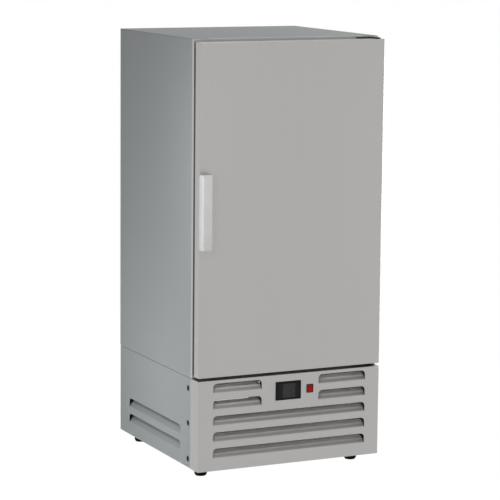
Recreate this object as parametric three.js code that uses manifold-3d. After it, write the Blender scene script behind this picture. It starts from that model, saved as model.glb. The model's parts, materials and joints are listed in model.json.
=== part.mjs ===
// Upright blast chiller: an insulated stainless cabinet with a flush door hinged on the right, two racks
// for ten trays and a fan-blown evaporator, on a base that holds the refrigeration unit and the controls.
//
// Millimetres. While it is built, x runs to the right from the machine's middle, y runs back from the
// door's front face and z runs up from the underside of the base. The finished group is then moved so that
// its origin lies on the floor under the middle of the whole machine.
import * as THREE from 'three';
import { mergeVertices } from 'three/addons/utils/BufferGeometryUtils.js';
import Module from 'manifold-3d';

const wasm = await Module();
wasm.setup();

// ---------------------------------------------------------------- driving dimensions

const width = 700;
const depth = 700;
const bodyHeight = 1478;
const baseHeight = 317.5;
const sheet = 1.2;
const liner = 1;
const gap = 0.3;

// The deck lies on the folded edges of the base, and the cabinet's sheets end just above it.
const deckBottom = baseHeight + gap;
const deckTop = deckBottom + liner;
const cabinetZ = deckTop + gap;
const wall = 60;

const door = { bottom: 327.5, top: 1469.4, thick: 38, lip: 14 };
const frame = { front: 51, back: 66, face: 2 };
const pivot = { x: 328, y: 14 };

const chamber = { half: width / 2 - wall, bottom: 380, top: bodyHeight - wall, back: 638, cove: 20 };
const trays = { levels: 10, first: 440, pitch: 92, width: 530, front: 82, back: 478 };

const cover = { y: 495, half: 285, bottom: 430, top: 1370 };
const evaporator = {
  x: [-255, 255], y: [576, 637.7], z: [455, 1345], fins: 7, columns: 4, tube: 7, overhang: 12,
};
const chillFan = { heights: [680, 1120], opening: 102, blade: 92, hub: 22, chord: 62 };
const condenser = {
  x: [-272, 48], y: [76, 110], z: [3.3, 210], fins: 7, columns: 3, tube: 5, overhang: 12,
};
const condenserFan = { x: -112, z: 118, opening: 74, blade: 67, hub: 18, chord: 46 };

const louvre = { height: 34.5, corner: 14, angle: 38, clearance: 0.9, bend: 7 };
const louvreRows = [44, 101.3, 158, 215, 271.7];
const louvreHalf = 294;
const shortLouvre = 184;
const sideLouvre = { rows: [45.5, 102.8], front: 148, back: 611 };

const flange = 66;
const panelFront = flange + gap;

const controller = { x: -7.6, z: 259.8, width: 97.7, height: 65.5, bezel: 6.5, proud: 2, depth: 58 };
const rocker = { x: 76.4, z: 259.9, width: 26.4, height: 30.4, tilt: 7 };

const handle = { bottom: 770.5, top: 1029, reach: 29, width: 37, skin: 3, lip: 10, cap: 3 };
const foot = { x: width / 2 - 56.5, front: 101, back: 640, height: 36, radius: 22, stud: 5 };

const half = width / 2;

// ---------------------------------------------------------------- finishes

const finish = (color, roughness, metalness) =>
  new THREE.MeshStandardMaterial({ color, roughness, metalness });
const finishes = {
  steel: finish('#aeacaa', 0.42, 0.85),
  sideSteel: finish('#9ca0a1', 0.45, 0.85),
  linerSteel: finish('#b9bbbb', 0.35, 0.9),
  zinc: finish('#a7abae', 0.5, 0.8),
  foam: finish('#d8c58e', 0.95, 0),
  seal: finish('#55585a', 0.8, 0),
  handle: finish('#c5c3c3', 0.5, 0.1),
  blackPlastic: finish('#141415', 0.45, 0),
  greyPlastic: finish('#4a4d50', 0.6, 0),
  window: finish('#353536', 0.15, 0),
  redPlastic: finish('#b01512', 0.35, 0),
  blackPaint: finish('#1b1c1d', 0.5, 0.3),
  darkSteel: finish('#3c3d3f', 0.5, 0.7),
  fins: finish('#c3c7c9', 0.4, 0.9),
  copper: finish('#b56c45', 0.35, 0.95),
  rubber: finish('#0e0e0f', 0.7, 0),
};

// ---------------------------------------------------------------- shape helpers

// A closed geometry as a solid, with its faces turned outwards whichever way its outline was drawn.
function toSolid(geometry) {
  const bare = new THREE.BufferGeometry();
  bare.setAttribute('position', geometry.getAttribute('position').clone());
  if (geometry.index) bare.setIndex(geometry.index.clone());
  const merged = mergeVertices(bare, 1e-4);
  const position = merged.getAttribute('position');
  const corner = [new THREE.Vector3(), new THREE.Vector3(), new THREE.Vector3()];
  const faces = [];
  let volume = 0;
  for (let i = 0; i < merged.index.count; i += 3) {
    const ids = [0, 1, 2].map((k) => merged.index.getX(i + k));
    if (new Set(ids).size < 3) continue;
    ids.forEach((id, k) => corner[k].fromBufferAttribute(position, id));
    volume += corner[0].dot(corner[1].clone().cross(corner[2]));
    faces.push(ids);
  }
  if (volume < 0) faces.forEach((ids) => ids.reverse());
  return new wasm.Manifold(
    new wasm.Mesh({ numProp: 3, vertProperties: position.array, triVerts: Uint32Array.from(faces.flat()) }),
  );
}

function toGeometry(solid) {
  const mesh = solid.getMesh();
  const geometry = new THREE.BufferGeometry();
  geometry.setAttribute('position', new THREE.Float32BufferAttribute(mesh.vertProperties, 3));
  geometry.setIndex(Array.from(mesh.triVerts));
  geometry.computeVertexNormals();
  return geometry;
}

const join = (...parts) => toGeometry(parts.map(toSolid).reduce((a, b) => a.add(b)));
const cut = (part, ...tools) => toGeometry(tools.map(toSolid).reduce((a, b) => a.subtract(b), toSolid(part)));
const common = (a, b) => toGeometry(toSolid(a).intersect(toSolid(b)));

function box([x0, x1], [y0, y1], [z0, z1]) {
  const block = new THREE.BoxGeometry(x1 - x0, y1 - y0, z1 - z0);
  return block.translate((x0 + x1) / 2, (y0 + y1) / 2, (z0 + z1) / 2);
}

// Outlines are carried along one axis: along z an outline holds (x, y), along x it holds (y, z), and along
// y it holds (x, z).
function extrude(outline, length, curveSegments) {
  const points = Array.isArray(outline) && outline.map(([u, v]) => new THREE.Vector2(u, v));
  const shape = points ? new THREE.Shape(points) : outline;
  return new THREE.ExtrudeGeometry(shape, { depth: length, bevelEnabled: false, curveSegments });
}

function alongZ(outline, z0, z1, curveSegments = 4) {
  return extrude(outline, z1 - z0, curveSegments).translate(0, 0, z0);
}

function alongX(outline, x0, x1, curveSegments = 4) {
  const turn = new THREE.Matrix4().makeBasis(
    new THREE.Vector3(0, 1, 0), new THREE.Vector3(0, 0, 1), new THREE.Vector3(1, 0, 0));
  return extrude(outline, x1 - x0, curveSegments).applyMatrix4(turn).translate(x0, 0, 0);
}

function alongY(outline, y0, y1, curveSegments = 4) {
  return extrude(outline, y1 - y0, curveSegments).rotateX(Math.PI / 2).translate(0, y1, 0);
}

// A profile of (radius, height) points turned about z.
function turned(profile, segments) {
  const points = profile.map(([r, h]) => new THREE.Vector2(r, h));
  return new THREE.LatheGeometry(points, segments).rotateX(Math.PI / 2);
}

const cylinder = (radius, z0, z1, segments = 16) =>
  turned([[0, z0], [radius, z0], [radius, z1], [0, z1]], segments);

const ring = (outer, inner, z0, z1, segments = 20) =>
  turned([[inner, z0], [outer, z0], [outer, z1], [inner, z1], [inner, z0]], segments);

// The same pieces with their axis along y instead of z, pointing back.
const facingBack = (geometry) => geometry.rotateX(-Math.PI / 2);

// A round bar through hand-set points, with its corners eased.
function pipe(points, radius, steps, sides = 6) {
  const route = points.map(([x, y, z]) => new THREE.Vector3(x, y, z));
  const path = new THREE.CatmullRomCurve3(route, false, 'catmullrom', 0.25);
  const section = new THREE.Shape(
    Array.from({ length: sides }, (_, i) => {
      const angle = (2 * Math.PI * i) / sides;
      return new THREE.Vector2(radius * Math.cos(angle), radius * Math.sin(angle));
    }),
  );
  return new THREE.ExtrudeGeometry(section, { steps, extrudePath: path, bevelEnabled: false });
}

function roundedRectangle(x0, x1, z0, z1, radius) {
  const shape = new THREE.Shape();
  shape.moveTo(x0 + radius, z0);
  shape.lineTo(x1 - radius, z0);
  shape.absarc(x1 - radius, z0 + radius, radius, -Math.PI / 2, 0);
  shape.lineTo(x1, z1 - radius);
  shape.absarc(x1 - radius, z1 - radius, radius, 0, Math.PI / 2);
  shape.lineTo(x0 + radius, z1);
  shape.absarc(x0 + radius, z1 - radius, radius, Math.PI / 2, Math.PI);
  shape.lineTo(x0, z0 + radius);
  shape.absarc(x0 + radius, z0 + radius, radius, Math.PI, 1.5 * Math.PI);
  return shape;
}

// ---------------------------------------------------------------- the assembly

const machine = new THREE.Group();
machine.position.set(0, -(depth - handle.reach) / 2, foot.height);

function add(name, geometry, material, parent = machine) {
  const mesh = new THREE.Mesh(geometry, material);
  mesh.name = name;
  parent.add(mesh);
  return mesh;
}

// ---------------------------------------------------------------- pressed louvres

// The window that one louvre is cut from: straight at the foot, with rounded upper corners.
function louvreOutline(u0, u1, z0, inset = 0) {
  const [left, right, top] = [u0 + inset, u1 - inset, z0 + louvre.height - inset];
  const radius = louvre.corner - inset;
  const shape = new THREE.Shape();
  shape.moveTo(left, z0);
  shape.lineTo(right, z0);
  shape.lineTo(right, top - radius);
  shape.absarc(right - radius, top - radius, radius, 0, Math.PI / 2);
  shape.lineTo(left + radius, top);
  shape.absarc(left + radius, top - radius, radius, Math.PI / 2, Math.PI);
  return shape;
}

// The flap stays joined to the sheet along its foot and is pressed inwards: it leaves the sheet at half the
// louvre's angle, then runs straight at the full angle. It is built flat in x and z, pressed towards +y.
function louvreFlap(u0, u1, z0) {
  const steep = THREE.MathUtils.degToRad(louvre.angle);
  const easy = steep / 2;
  const run = louvre.height - louvre.clearance - louvre.bend;
  const heel = [0, -1.5];
  const root = [0, 0];
  const knee = [louvre.bend * Math.sin(easy), louvre.bend * Math.cos(easy)];
  const tip = [knee[0] + run * Math.sin(steep), knee[1] + run * Math.cos(steep)];
  const front = [heel, root, knee, tip];
  const back = front.map(([y, z]) => [y + sheet, z]).reverse();
  const strip = alongX([...front, ...back], u0 - 5, u1 + 5);
  const shorter = tip[1] / (louvre.height - louvre.clearance);
  const blank = alongY(louvreOutline(u0, u1, 0, louvre.clearance), -1, louvre.height).scale(1, 1, shorter);
  const heelBlank = box([u0 + louvre.clearance, u1 - louvre.clearance], [-1, 5], [heel[1] - 1, 0.5]);
  return common(strip, join(blank, heelBlank)).translate(0, 0, z0);
}

// Cuts a row of louvres in a sheet that faces -y with its front face at y = 0.
function pressLouvres(plate, louvres) {
  const windows = louvres.map(([u0, u1, z0]) => alongY(louvreOutline(u0, u1, z0), -5, 5, 4));
  const flaps = louvres.map(([u0, u1, z0]) => louvreFlap(u0, u1, z0));
  return join(cut(plate, ...windows), ...flaps);
}

// ---------------------------------------------------------------- cabinet shell

const panelTop = bodyHeight - sheet - gap;

function sidePanel(side) {
  const fold = 14;
  const profile = [
    [0, cabinetZ], [fold, cabinetZ], [fold, cabinetZ + sheet], [sheet, cabinetZ + sheet],
    [sheet, panelTop - sheet], [fold, panelTop - sheet], [fold, panelTop], [0, panelTop],
  ];
  const outline = profile.map(([u, z]) => [side * (half - u), z]);
  return alongY(outline, panelFront, depth - sheet - gap);
}

function topPanel() {
  return box([-half, half], [panelFront, depth], [bodyHeight - sheet, bodyHeight]);
}

// The back sheet carries two upright ribs pressed outwards into its own thickness of folded edge.
function backPanel() {
  const plate = box([-half, half], [depth - sheet, depth], [cabinetZ, panelTop]);
  const [low, high] = [cabinetZ + 60, bodyHeight - 60];
  const rib = (x) => box([x - 9, x + 9], [depth - 2 * sheet, depth - sheet + 0.1], [low, high]);
  const groove = (x) => box([x - 7.5, x + 7.5], [depth - sheet, depth + 1], [low + 2, high - 2]);
  return cut(join(plate, rib(-150), rib(150)), groove(-150), groove(150));
}

// One profile of the front frame: a flat face that the door seal meets, a return that shows at the
// machine's side and a return into the chamber. The outline is drawn from the outside (u = 0) inwards.
function frameOutline(faceWidth) {
  const { front, back, face } = frame;
  return [
    [0, front], [faceWidth, front], [faceWidth, back], [faceWidth - face, back],
    [faceWidth - face, front + face], [sheet, front + face], [sheet, back], [0, back],
  ];
}

function frameStile(side) {
  const outline = frameOutline(wall).map(([u, y]) => [side * (half - u), y]);
  return alongZ(outline, cabinetZ, bodyHeight);
}

function frameRail(outer, inner) {
  const direction = Math.sign(inner - outer);
  const outline = frameOutline(Math.abs(inner - outer)).map(([u, y]) => [y, outer + direction * u]);
  return alongX(outline, -chamber.half + gap, chamber.half - gap);
}

function insulation() {
  const [front, back] = [frame.back + gap, depth - 2 * sheet - gap];
  const outside = half - sheet - gap;
  const block = box([-outside, outside], [front, back], [cabinetZ + sheet + gap, panelTop - sheet - gap]);
  const hollow = box(
    [-chamber.half - liner - gap, chamber.half + liner + gap],
    [front - 1, chamber.back + liner + gap],
    [chamber.bottom - liner - gap, chamber.top + liner + gap],
  );
  const drainHole = cylinder(drain.radius + gap, cabinetZ, chamber.bottom).translate(drain.x, drain.y, 0);
  return cut(block, hollow, drainHole);
}

const linerFront = frame.back + gap;

const linerSide = (side) =>
  box(
    [side * chamber.half, side * (chamber.half + liner)].sort((a, b) => a - b),
    [linerFront, chamber.back + liner],
    [chamber.bottom + chamber.cove + gap, chamber.top - gap],
  );

const linerCeiling = () =>
  box(
    [-chamber.half - liner, chamber.half + liner],
    [linerFront, chamber.back + liner],
    [chamber.top, chamber.top + liner],
  );

const linerBack = () =>
  box(
    [-chamber.half + gap, chamber.half - gap],
    [chamber.back, chamber.back + liner],
    [chamber.bottom + gap, chamber.top - gap],
  );

// The chamber's floor is one sheet with a round cove up each side and a hole for the drain, which runs down
// through the insulation and the deck and ends over the condensate tray.
const drain = { x: -190, y: 560, radius: 12, end: 56 };

function linerFloor() {
  const { half: inside, bottom, cove } = chamber;
  const upper = bottom + cove;
  const shape = new THREE.Shape();
  shape.moveTo(inside, upper);
  shape.absarc(inside - cove, upper, cove, 0, -Math.PI / 2, true);
  shape.lineTo(-inside + cove, bottom);
  shape.absarc(-inside + cove, upper, cove, -Math.PI / 2, -Math.PI, true);
  shape.lineTo(-inside - liner, upper);
  shape.absarc(-inside + cove, upper, cove + liner, Math.PI, 1.5 * Math.PI);
  shape.lineTo(inside - cove, bottom - liner);
  shape.absarc(inside - cove, upper, cove + liner, 1.5 * Math.PI, 2 * Math.PI);
  const floor = alongY(shape, linerFront, chamber.back - gap, 5);
  return cut(floor, cylinder(drain.radius + gap, bottom - 10, bottom + 10).translate(drain.x, drain.y, 0));
}

function drainPipe() {
  const { radius, end: low } = drain;
  const high = chamber.bottom - 0.5;
  const bore = radius - 2;
  const profile = [[bore, low], [radius, low], [radius, high], [bore, high - 1], [bore, low]];
  return turned(profile, 16).translate(drain.x, drain.y, 0);
}

function deck() {
  const outside = half - sheet - gap;
  const plate = box([-outside, outside], [panelFront, depth - sheet - gap], [deckBottom, deckTop]);
  return cut(plate, cylinder(drain.radius + 1, deckBottom - 5, deckTop + 5).translate(drain.x, drain.y, 0));
}

// ---------------------------------------------------------------- tray racks

// Two uprights stand off the chamber wall and carry a flat bar for each tray, with its front corner eased.
function rack(side) {
  const [inner, outer] = [trays.width / 2 - 17.5, trays.width / 2 + 4.5];
  const thick = 2.5;
  const across = (u0, u1) => [side * u0, side * u1].sort((a, b) => a - b);
  const tall = [trays.first - 30, trays.first + trays.pitch * (trays.levels - 1) + 40];
  const uprights = [130, 418].map((y) => box(across(outer - 0.5, chamber.half - gap), [y, y + 24], tall));
  const bar = [
    [inner + 8, trays.front], [outer, trays.front], [outer, trays.back],
    [inner, trays.back], [inner, trays.front + 8],
  ].map(([x, y]) => [side * x, y]);
  const runners = Array.from({ length: trays.levels }, (_, level) => {
    const top = trays.first + trays.pitch * level + 2;
    return alongZ(bar, top - thick, top);
  });
  return join(...uprights, ...runners);
}

// ---------------------------------------------------------------- fans

// A fan blade is a thin cambered plate: along its length its pitch eases off and it sweeps back, and the
// same grid of points, pushed apart by the thickness, makes its two faces.
function blade(inner, outer, chord) {
  const [rows, columns, thickness] = [4, 3, 1.8];
  const face = (lift) => {
    const points = [];
    for (let i = 0; i < rows; i += 1) {
      const along = i / (rows - 1);
      const radius = inner + along * (outer - inner);
      const pitch = THREE.MathUtils.degToRad(42 - 16 * along);
      const reach = chord * (0.7 + 0.3 * Math.sin(along * 2));
      for (let j = 0; j < columns; j += 1) {
        const across = j / (columns - 1) - 0.5;
        const angle = (across * reach * Math.cos(pitch)) / radius + 0.35 * along * along;
        const height = across * reach * Math.sin(pitch) + 4 * (1 - 4 * across * across) + lift;
        points.push([radius * Math.cos(angle), radius * Math.sin(angle), height]);
      }
    }
    return points;
  };
  const at = (i, j) => i * columns + j;
  const far = rows * columns;
  const quads = [];
  for (let i = 0; i + 1 < rows; i += 1) {
    for (let j = 0; j + 1 < columns; j += 1) {
      const [a, b, c, d] = [at(i, j), at(i + 1, j), at(i + 1, j + 1), at(i, j + 1)];
      quads.push([a, d, c, b], [a + far, b + far, c + far, d + far]);
    }
  }
  for (let i = 0; i + 1 < rows; i += 1) {
    const last = columns - 1;
    quads.push([at(i, 0), at(i + 1, 0), at(i + 1, 0) + far, at(i, 0) + far]);
    quads.push([at(i + 1, last), at(i, last), at(i, last) + far, at(i + 1, last) + far]);
  }
  for (let j = 0; j + 1 < columns; j += 1) {
    const last = rows - 1;
    quads.push([at(0, j + 1), at(0, j), at(0, j) + far, at(0, j + 1) + far]);
    quads.push([at(last, j), at(last, j + 1), at(last, j + 1) + far, at(last, j) + far]);
  }
  const points = [...face(0), ...face(thickness)].flat();
  const geometry = new THREE.BufferGeometry();
  geometry.setAttribute('position', new THREE.Float32BufferAttribute(points, 3));
  geometry.setIndex(quads.flatMap(([a, b, c, d]) => [a, b, c, a, c, d]));
  return geometry;
}

// Five blades on a capped hub; the axis is z, and the face towards the air stream is at the bottom.
function fanBlades(fan) {
  const hub = turned([[0, -14], [fan.hub - 5, -14], [fan.hub, -9], [fan.hub, 16], [0, 16]], 16);
  const blades = Array.from({ length: 5 }, (_, i) =>
    blade(fan.hub - 3, fan.blade, fan.chord).rotateZ((2 * Math.PI * i) / 5));
  return join(hub, ...blades);
}

// A round motor whose three arms reach out past the opening and forward to the plate it hangs on.
function fanMotor(fan, armForward) {
  const body = fan.hub + 14;
  const can = turned([[0, 0], [body - 2, 0], [body, 4], [body, 26], [body - 6, 32], [0, 32]], 16);
  const shaft = cylinder(4, -3.5, 1, 8);
  const reach = fan.opening + 8;
  const arms = [0, 1, 2].map((i) => {
    const radial = box([fan.hub, reach + 3], [-5, 5], [3, 6]);
    const forward = box([reach, reach + 3], [-5, 5], [-armForward, 6]);
    return join(radial, forward).rotateZ((2 * Math.PI * i) / 3 + Math.PI / 2);
  });
  return join(can, shaft, ...arms);
}

// A dished wire guard: the rim lies on the cover, and four cranked spokes carry two more rings and a small
// centre plate in front of it.
function fanGuard(radius) {
  const wire = 3;
  const dish = 10;
  const hoop = (share, z, segments) => ring(radius * share, radius * share - wire, z, z + wire, segments);
  const crank = [
    [10, -dish], [radius * 0.85, -dish], [radius - 1, 0], [radius - 1, wire],
    [radius * 0.85 - 1, wire - dish], [10, wire - dish],
  ];
  const spokes = [0, 1, 2, 3].map((i) => alongY(crank, -wire / 2, wire / 2).rotateZ((Math.PI * i) / 2));
  const centre = cylinder(15, -dish, wire - dish, 12);
  return join(centre, hoop(1, 0, 16), hoop(0.7, -dish, 12), hoop(0.4, -dish, 8), ...spokes);
}

// ---------------------------------------------------------------- heat exchangers

// A block of upright fins on cross tubes, between two thicker end plates.
function finnedCoil({ x: [x0, x1], y, z, fins: count, columns, tube, overhang }) {
  const plates = Array.from({ length: count }, (_, i) => {
    const x = x0 + (i * (x1 - x0)) / (count - 1);
    const thick = i === 0 || i === count - 1 ? 1.5 : 0.8;
    return box([x - thick / 2, x + thick / 2], y, z);
  });
  const tubes = Array.from({ length: columns }, (_, column) => {
    const bar = new THREE.CylinderGeometry(tube, tube, x1 - x0 + 2 * overhang, 6).rotateZ(Math.PI / 2);
    return bar.translate((x0 + x1) / 2, (y[0] + y[1]) / 2, tubeHeight(z, columns, column));
  });
  return join(...plates, ...tubes);
}

const tubeHeight = ([z0, z1], columns, column) => z0 + ((column + 0.5) * (z1 - z0)) / columns;

// ---------------------------------------------------------------- evaporator

// The cover is a channel on the chamber's back wall, with a round opening in front of each fan.
function evaporatorCover() {
  const { y, half: across, bottom, top } = cover;
  const back = chamber.back - gap;
  const outline = [
    [-across, y], [across, y], [across, back], [across - sheet, back],
    [across - sheet, y + sheet], [-across + sheet, y + sheet], [-across + sheet, back], [-across, back],
  ];
  const openings = chillFan.heights.map((z) =>
    facingBack(cylinder(chillFan.opening, -5, 5, 24)).translate(0, y, z));
  return cut(alongZ(outline, bottom, top), ...openings);
}

// ---------------------------------------------------------------- base

function frontCover() {
  const outside = box([-half, half], [0, flange], [0, baseHeight]);
  const inside = box([-half + sheet, half - sheet], [sheet, flange + 1], [sheet, baseHeight - sheet]);
  const [low, middle, high, fourth, fifth] = louvreRows;
  const louvres = [
    ...[low, middle, high].map((z) => [-louvreHalf, louvreHalf, z]),
    ...[fourth, fifth].flatMap((z) => [
      [-louvreHalf, -louvreHalf + shortLouvre, z],
      [louvreHalf - shortLouvre, louvreHalf, z],
    ]),
  ];
  const pressed = pressLouvres(cut(outside, inside), louvres);
  return cut(pressed, controlBlock(controller, -5, 5, 3), controlBlock(rocker, -5, 5, 0.7));
}

// A block with the outline of a control on the front cover, drawn in all round by inset.
function controlBlock({ x, z, width: across, height }, y0, y1, inset) {
  const [dx, dz] = [across / 2 - inset, height / 2 - inset];
  return box([x - dx, x + dx], [y0, y1], [z - dz, z + dz]);
}

// A control's rim lies on the front cover and has eased corners.
function controlRim({ x, z, width: across, height }, proud) {
  const [dx, dz] = [across / 2, height / 2];
  return alongY(roundedRectangle(x - dx, x + dx, z - dz, z + dz, 2), -proud, -gap, 2);
}

// A side sheet of the base, folded in at the back, top and bottom, with two long louvres. It is built facing
// -y with its front edge at the left, then turned to face left; the right one is its mirror image.
function baseSide(side) {
  const ledge = 25;
  const [front, back] = [panelFront, depth];
  const plate = box([front, back], [0, sheet], [0, baseHeight]);
  const folds = [
    box([back - sheet, back], [0, 14], [0, baseHeight]),
    box([front, back], [0, ledge], [0, sheet]),
    box([front, back], [0, ledge], [baseHeight - sheet, baseHeight]),
  ];
  const louvres = sideLouvre.rows.map((z) => [sideLouvre.front, sideLouvre.back, z]);
  const pressed = pressLouvres(join(plate, ...folds), louvres);
  const turn = new THREE.Matrix4().makeBasis(
    new THREE.Vector3(0, 1, 0), new THREE.Vector3(-side, 0, 0), new THREE.Vector3(0, 0, 1));
  return join(pressed.applyMatrix4(turn).translate(side * half, 0, 0));
}

function baseBack() {
  const across = half - sheet - gap;
  const plate = box([-across, across], [0, sheet], [4, baseHeight - 4]);
  const louvres = louvreRows.slice(0, 3).map((z) => [-louvreHalf, louvreHalf - 130, z]);
  const pressed = pressLouvres(plate, louvres);
  const hole = facingBack(cylinder(gland.radius, -5, 5)).translate(gland.x, 0, gland.z);
  return cut(pressed, hole).rotateZ(Math.PI).translate(0, baseBackY, 0);
}

const baseBackY = depth - 16;
const gland = { x: 250, z: 250, radius: 8 };

// The gland for the supply cable: a threaded body through the back sheet, a hexagon and a domed nut.
function cableGland() {
  const body = turned([[0, -14], [7.6, -14], [7.6, 0.3], [12, 0.3], [12, 6], [9.5, 13], [5, 14], [0, 11]], 6);
  return facingBack(body).translate(-gland.x, baseBackY, gland.z);
}

// The pan lies on the base's lower folds and carries the unit; a flat nut is pressed in over each foot's hole.
function basePan() {
  const across = half - sheet - 1.5;
  const [front, back] = [flange - 40, baseBackY - sheet - 1];
  const tray = cut(
    box([-across, across], [front, back], [1.5, 21.5]),
    box([-across + 1.5, across - 1.5], [front + 1.5, back - 1.5], [3, 30]),
  );
  const holes = footPlaces.map(([, x, y]) => cylinder(foot.stud + 0.4, -5, 20, 10).translate(x, y, 0));
  const nuts = footPlaces.map(([, x, y]) => cylinder(10, 2.5, 7, 6).translate(x, y, 0));
  return cut(join(tray, ...nuts), ...holes);
}

const footPlaces = [
  ['front_left', -foot.x, foot.front],
  ['front_right', foot.x, foot.front],
  ['back_left', -foot.x, foot.back],
  ['back_right', foot.x, foot.back],
];

// A levelling foot: a tapered black pad with a shoulder, and the stud that screws up into the base.
function levellingFoot() {
  const { height, radius, stud } = foot;
  const profile = [
    [0, 0], [radius - 4, 0], [radius, 6], [radius, 11], [radius - 9, 16], [radius - 9, height - 2],
    [stud, height - 2], [stud, height + 16], [0, height + 16],
  ];
  return turned(profile, 14);
}

// ---------------------------------------------------------------- controls

// A square bezel with a long housing behind it; the window lies in the bezel's recess.
function controllerBody() {
  const { bezel, proud, depth: long } = controller;
  const recess = controlBlock(controller, -proud - 1, -proud + 1.2, bezel);
  return join(cut(controlRim(controller, proud), recess), controlBlock(controller, -gap - 0.1, long, 3.5));
}

function controllerWindow() {
  const { bezel, proud } = controller;
  return controlBlock(controller, -proud + 0.3, -proud + 0.9, bezel + gap);
}

function switchHousing() {
  const { x, z } = rocker;
  const shell = join(controlRim(rocker, 1.5), controlBlock(rocker, -gap - 0.1, 20, 1));
  const terminals = [-7, 7].map((dz) => box([x - 3, x + 3], [19, 28], [z + dz - 0.5, z + dz + 0.5]));
  return join(cut(shell, controlBlock(rocker, -10, 14, 1.9)), ...terminals);
}

// The rocker is a shallow V that tips about its middle; it rests with its upper half pressed in.
function rockerButton() {
  const [wide, tall] = [rocker.width / 2 - 2.4, rocker.height / 2 - 3];
  const outline = [[-4.5, tall], [-2, 0], [-4.5, -tall], [1, -tall], [6, -5], [6, 5], [1, tall]];
  const tilt = THREE.MathUtils.degToRad(rocker.tilt);
  return alongX(outline, -wide, wide).rotateX(-tilt);
}

// ---------------------------------------------------------------- refrigeration unit

// A hermetic compressor: a drawn shell with a welded belt line, on a footed plate.
function compressor() {
  const shell = turned([
    [0, 18], [62, 18], [80, 44], [80, 112], [83, 114], [83, 118], [80, 120], [80, 150], [70, 178], [42, 194],
    [0, 198],
  ], 14);
  const plate = alongZ(roundedRectangle(-95, 95, -70, 70, 14), 13, 18.1, 2);
  const corners = [[-80, -55], [80, -55], [-80, 55], [80, 55]];
  const feet = corners.map(([x, y]) => cylinder(11, 3.3, 13.1, 10).translate(x, y, 0));
  const stub = cylinder(6, 0, 26, 8).rotateY(-Math.PI / 2).translate(-76, -20, 140);
  return join(shell, plate, ...feet, stub);
}

const compressorPlace = { x: 175, y: 470 };

function terminalCover() {
  return cut(
    box([-28, 28], [-108, -74], [60, 110]),
    box([-25.5, 25.5], [-105.5, -70], [62.5, 107.5]),
    cylinder(81.5, 40, 130, 24),
  );
}

const shroudBack = 142;

// The shroud leads the air from the whole condenser into the fan's opening.
function condenserShroud() {
  const { x, z, opening } = condenserFan;
  const [x0, x1] = [condenser.x[0] - 6, condenser.x[1] + 6];
  const [z0, z1] = [condenser.z[0], condenser.z[1] + 2];
  const shell = cut(
    box([x0, x1], [condenser.y[1] + gap, shroudBack], [z0, z1]),
    box([x0 + sheet, x1 - sheet], [condenser.y[0], shroudBack - sheet], [z0 + sheet, z1 - sheet]),
  );
  return cut(shell, facingBack(cylinder(opening, shroudBack - 9, shroudBack + 9, 24)).translate(x, 0, z));
}

function electricBox() {
  const shell = alongZ(roundedRectangle(106, 276, 84, 190, 4), 3.3, 208, 2);
  const lidLine = cut(box([100, 280], [80, 200], [150, 151.2]), box([107, 275], [85, 189], [140, 160]));
  const ribs = [138, 188, 238].map((x) => box([x, x + 6], [189.5, 193], [40, 140]));
  return join(cut(shell, lidLine), ...ribs);
}

function condensateTray() {
  const outline = roundedRectangle(-330, -70, 380, 600, 18);
  const inside = roundedRectangle(-327.5, -72.5, 382.5, 597.5, 15.5);
  return cut(alongZ(outline, 3.3, 48, 3), alongZ(inside, 6, 60, 3));
}

const portX = condenser.x[1] + condenser.overhang + gap;
const portY = (condenser.y[0] + condenser.y[1]) / 2;
const portHeight = (column) => tubeHeight(condenser.z, condenser.columns, column);

// The liquid line leaves the condenser's lowest tube, swells into the filter drier and climbs to the deck.
function liquidLine() {
  const low = portHeight(0);
  const route = [
    [portX, portY, low], [76, portY, low], [84, 108, low + 4], [84, 210, 60],
    [84, 252, 80], [84, 264, 140], [84, 266, 230], [84, 266, deckBottom - gap],
  ];
  const drier = turned([[0, 96], [6, 96], [13, 108], [13, 168], [6, 180], [0, 180]], 10);
  return join(pipe(route, 4, 24), drier.translate(84, 263.5, 0));
}

function dischargePipe() {
  const high = portHeight(condenser.columns - 1);
  const route = [
    [146, 395, 135], [142, 385, 135], [134, 345, 142], [128, 310, 156], [104, 240, 226],
    [96, 150, 236], [84, 108, 200], [76, portY, high], [portX, portY, high],
  ];
  return pipe(route, 4, 28);
}

function suctionPipe() {
  const route = [
    [72.7, 450, 140], [58, 450, 140], [40, 450, 168], [36, 452, 240], [36, 454, deckBottom - gap],
  ];
  return pipe(route, 6, 18);
}

// ---------------------------------------------------------------- door

// The outer skin is one folded pan: a flat front, four returns and a lip all round the back.
function doorSkin() {
  const { bottom, top, thick, lip } = door;
  const block = box([-half, half], [0, thick], [bottom, top]);
  const hollow = box([-half + sheet, half - sheet], [sheet, thick - sheet], [bottom + sheet, top - sheet]);
  const mouth = box([-half + lip, half - lip], [thick - 5, thick + 5], [bottom + lip, top - lip]);
  return cut(block, hollow, mouth, ...pinBores());
}

const pin = { radius: 5, long: 28 };

function pinBores() {
  const bore = (z0, z1) => cylinder(pin.radius + 0.4, z0, z1).translate(pivot.x, pivot.y, 0);
  return [bore(door.bottom - 5, door.bottom + pin.long), bore(door.top - pin.long, door.top + 5)];
}

function doorFoam() {
  const { bottom, top, thick, lip } = door;
  const inset = sheet + gap;
  const block = box([-half + inset, half - inset], [inset, thick - inset], [bottom + inset, top - inset]);
  const bores = [[bottom, 1], [top, -1]].map(([z, way]) =>
    box([pivot.x - 11, half], [0, thick], [z, z + way * (pin.long + 4)].sort((a, b) => a - b)));
  const rimSeat = box([-half + lip, half - lip], [thick - 2.3, thick], [bottom + lip, top - lip]);
  return cut(block, ...bores, rimSeat);
}

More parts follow.
